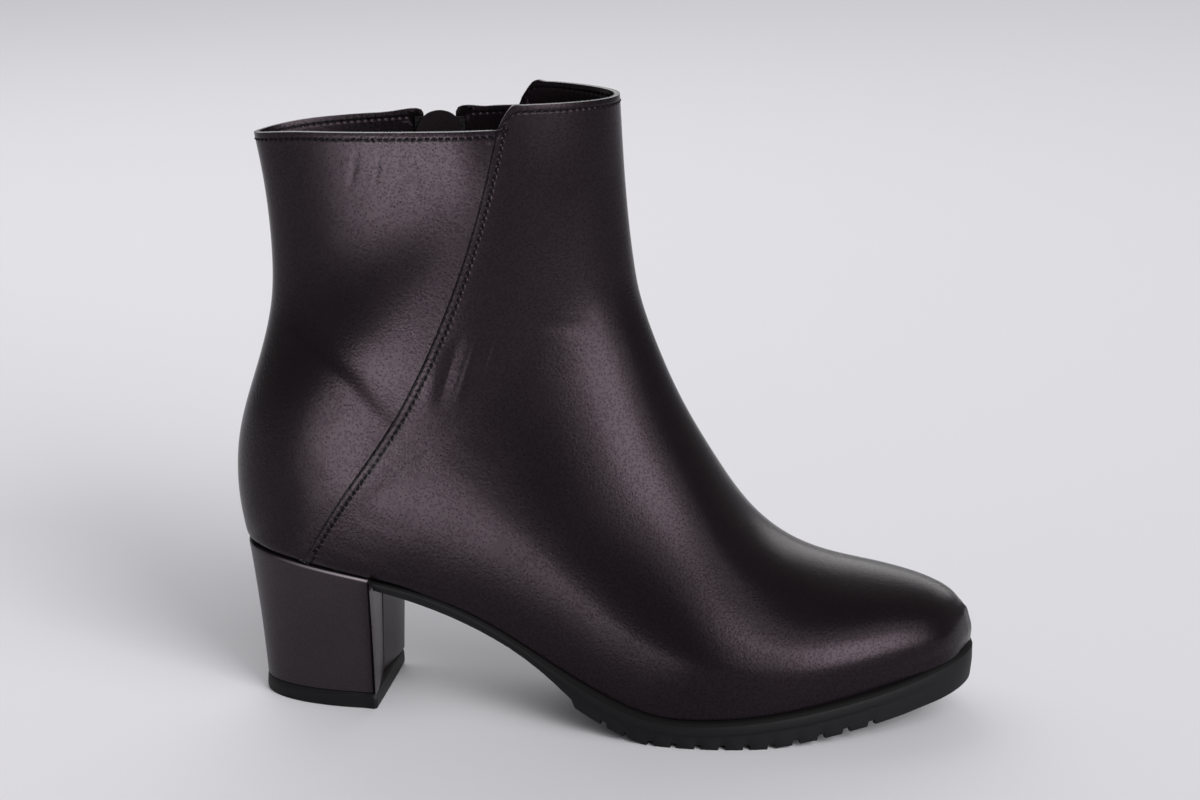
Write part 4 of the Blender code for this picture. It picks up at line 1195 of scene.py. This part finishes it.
class BOOT_OT_zip(Operator):
    """Zip: tape, guard flap, coil of teeth, slider and pull tab"""

    bl_idname = "boot.zip"
    bl_label = "Zip"

    def execute(self, context):
        sizes = context.scene.boot_sizes
        colours = context.scene.boot_colours
        tape = smooth_copy("zip_tape", "zip_tape_weave", levels=1)
        dress(tape, [tape_finish("zip_tape", colours.tape)], "zip_tape")
        guard = smooth_copy("zip_guard", "zip_guard_flap", levels=2)
        leather = leather_finish("zip_guard", colours.lining, grain=sizes.grain, depth=0.00005,
                                 roughness=0.4, coat=0.05)
        dress(guard, [leather], "zip_guard")
        coil = self.coil(sizes)
        dress(coil, [coil_finish("zip_coil", colours.coil)], "zip_chain")
        metal = metal_finish("zip_metal", colours.metal)
        for node, name, body in (("zip_slider", "zip_slider_body", BODY),
                                 ("zip_pull", "zip_pull_tab", TAB_BODY)):
            piece = copied_node(node, name)
            modify(piece, "BEVEL", width=sizes.metal_round, segments=2, limit_method="ANGLE",
                   angle_limit=math.radians(40))
            bpy.ops.object.shade_smooth_by_angle(angle=math.radians(40))
            dress(piece, [metal], node, body)
        return {"FINISHED"}

    def coil(self, sizes):
        """Teeth of both sides, meeting in turn along the middle."""
        (x_of, y_of), low, high = centre_line("zip_chain")
        places = []
        count = int((high - low) / sizes.tooth_pitch)
        for number in range(count):
            z = low + (number + 0.5) * sizes.tooth_pitch
            middle = np.array((x_of(z), y_of(z), z))
            up = unit(np.array((x_of(z + MM), y_of(z + MM), z + MM)) - middle)
            side = unit(np.cross((0.0, 1.0, 0.0), up))
            out = np.cross(up, side)
            sign = 1 if number % 2 else -1
            places.append((middle + side * sign * sizes.tooth_shift, side, up, out))
        points, faces = capsule(sizes.tooth_length, sizes.tooth_thick)
        piece = scattered("zip_coil_teeth", (points * (1, 0.85, 1.3), faces), places)
        take(piece)
        bpy.ops.object.shade_smooth()
        return piece


def area_light(name, size, brightness, place, rotation):
    """A soft rectangular light of a brightness."""
    light = bpy.data.lights.new(name, "AREA")
    light.shape = "RECTANGLE"
    light.size, light.size_y = size
    light.energy = math.pi * light.size * light.size_y * brightness
    lamp = bpy.data.objects.new(name, light)
    bpy.context.scene.collection.objects.link(lamp)
    lamp.location = place
    lamp.rotation_euler = rotation
    lamp.visible_camera = False


def softbox(name, azimuth, elevation, spread, reach, brightness, target):
    """A light that faces a target, with its width and height as angles seen from there."""
    turn, rise = math.radians(azimuth), math.radians(elevation)
    way = Vector((math.sin(turn) * math.cos(rise), -math.cos(turn) * math.cos(rise), math.sin(rise)))
    size = [2 * reach * math.tan(math.radians(angle) / 2) for angle in spread]
    area_light(name, size, brightness, target + way * reach, (-way).to_track_quat("-Z", "Y").to_euler())


class BOOT_OT_stage(Operator):
    """Pale floor, soft lights and the camera"""

    bl_idname = "boot.stage"
    bl_label = "Stage"

    def execute(self, context):
        stage = context.scene.boot_stage
        take(bpy.data.objects["upper_leather"])
        bpy.ops.mesh.primitive_circle_add(vertices=64, radius=stage.floor_radius, fill_type="NGON")
        floor = context.object
        floor.name = "floor"
        finish = Finish("floor", stage.floor, 0.75)
        uneven(finish, 1.5, tint=0.03, roughness=0.75, sheen=0.1)
        floor.data.materials.append(finish.material)
        world = context.scene.world or bpy.data.worlds.new("room")
        context.scene.world = world
        world.use_nodes = True
        sky = world.node_tree.nodes["Background"]
        sky.inputs["Color"].default_value = (0.98, 0.98, 1.0, 1.0)
        sky.inputs["Strength"].default_value = stage.sky
        target = Vector(stage.target)
        # Azimuth, elevation and spread in degrees, seen from the boot.
        softbox("right_softbox", 44, 18, (27, 44), stage.light_reach, stage.right_light, target)
        softbox("wide_softbox", 45, 34, (60, 52), stage.light_reach, stage.wide_light, target)
        softbox("left_softbox", 220, 48, (60, 40), stage.left_reach, stage.left_light, target)
        softbox("back_softbox", 185, 20, (60, 20), stage.light_reach, stage.back_light, target)
        area_light("floor_panel", stage.panel_size, stage.panel_light, stage.panel_place,
                   (math.pi, 0.0, stage.panel_turn))
        data = bpy.data.cameras.new("camera")
        data.lens = stage.lens
        data.sensor_width = 36.0
        data.sensor_fit = "HORIZONTAL"
        camera = bpy.data.objects.new("camera", data)
        context.scene.collection.objects.link(camera)
        camera.location = stage.camera
        camera.rotation_euler = (target - camera.location).to_track_quat("-Z", "Y").to_euler()
        context.scene.camera = camera
        context.scene.view_settings.view_transform = "Standard"
        return {"FINISHED"}


class BOOT_PT_panel(Panel):
    """Lists the steps that dress the boot"""

    bl_label = "Ankle Boot"
    bl_idname = "BOOT_PT_panel"
    bl_space_type = "VIEW_3D"
    bl_region_type = "UI"
    bl_category = "Boot"

    def draw(self, context):
        for operator in OPERATORS:
            self.layout.operator(operator.bl_idname)


GROUPS = {"boot_sizes": BootSizes, "boot_colours": BootColours, "boot_stage": BootStage}
OPERATORS = (BOOT_OT_upper, BOOT_OT_stitching, BOOT_OT_sole, BOOT_OT_heel, BOOT_OT_insole, BOOT_OT_zip,
             BOOT_OT_stage)


def register():
    for cls in (*GROUPS.values(), *OPERATORS, BOOT_PT_panel):
        bpy.utils.register_class(cls)
    for name, cls in GROUPS.items():
        setattr(bpy.types.Scene, name, PointerProperty(type=cls))


def unregister():
    for name in GROUPS:
        delattr(bpy.types.Scene, name)
    for cls in reversed((*GROUPS.values(), *OPERATORS, BOOT_PT_panel)):
        bpy.utils.unregister_class(cls)


def main():
    register()
    for operator in OPERATORS:
        category, name = operator.bl_idname.split(".")
        getattr(getattr(bpy.ops, category), name)()


if __name__ == "__main__":
    main()
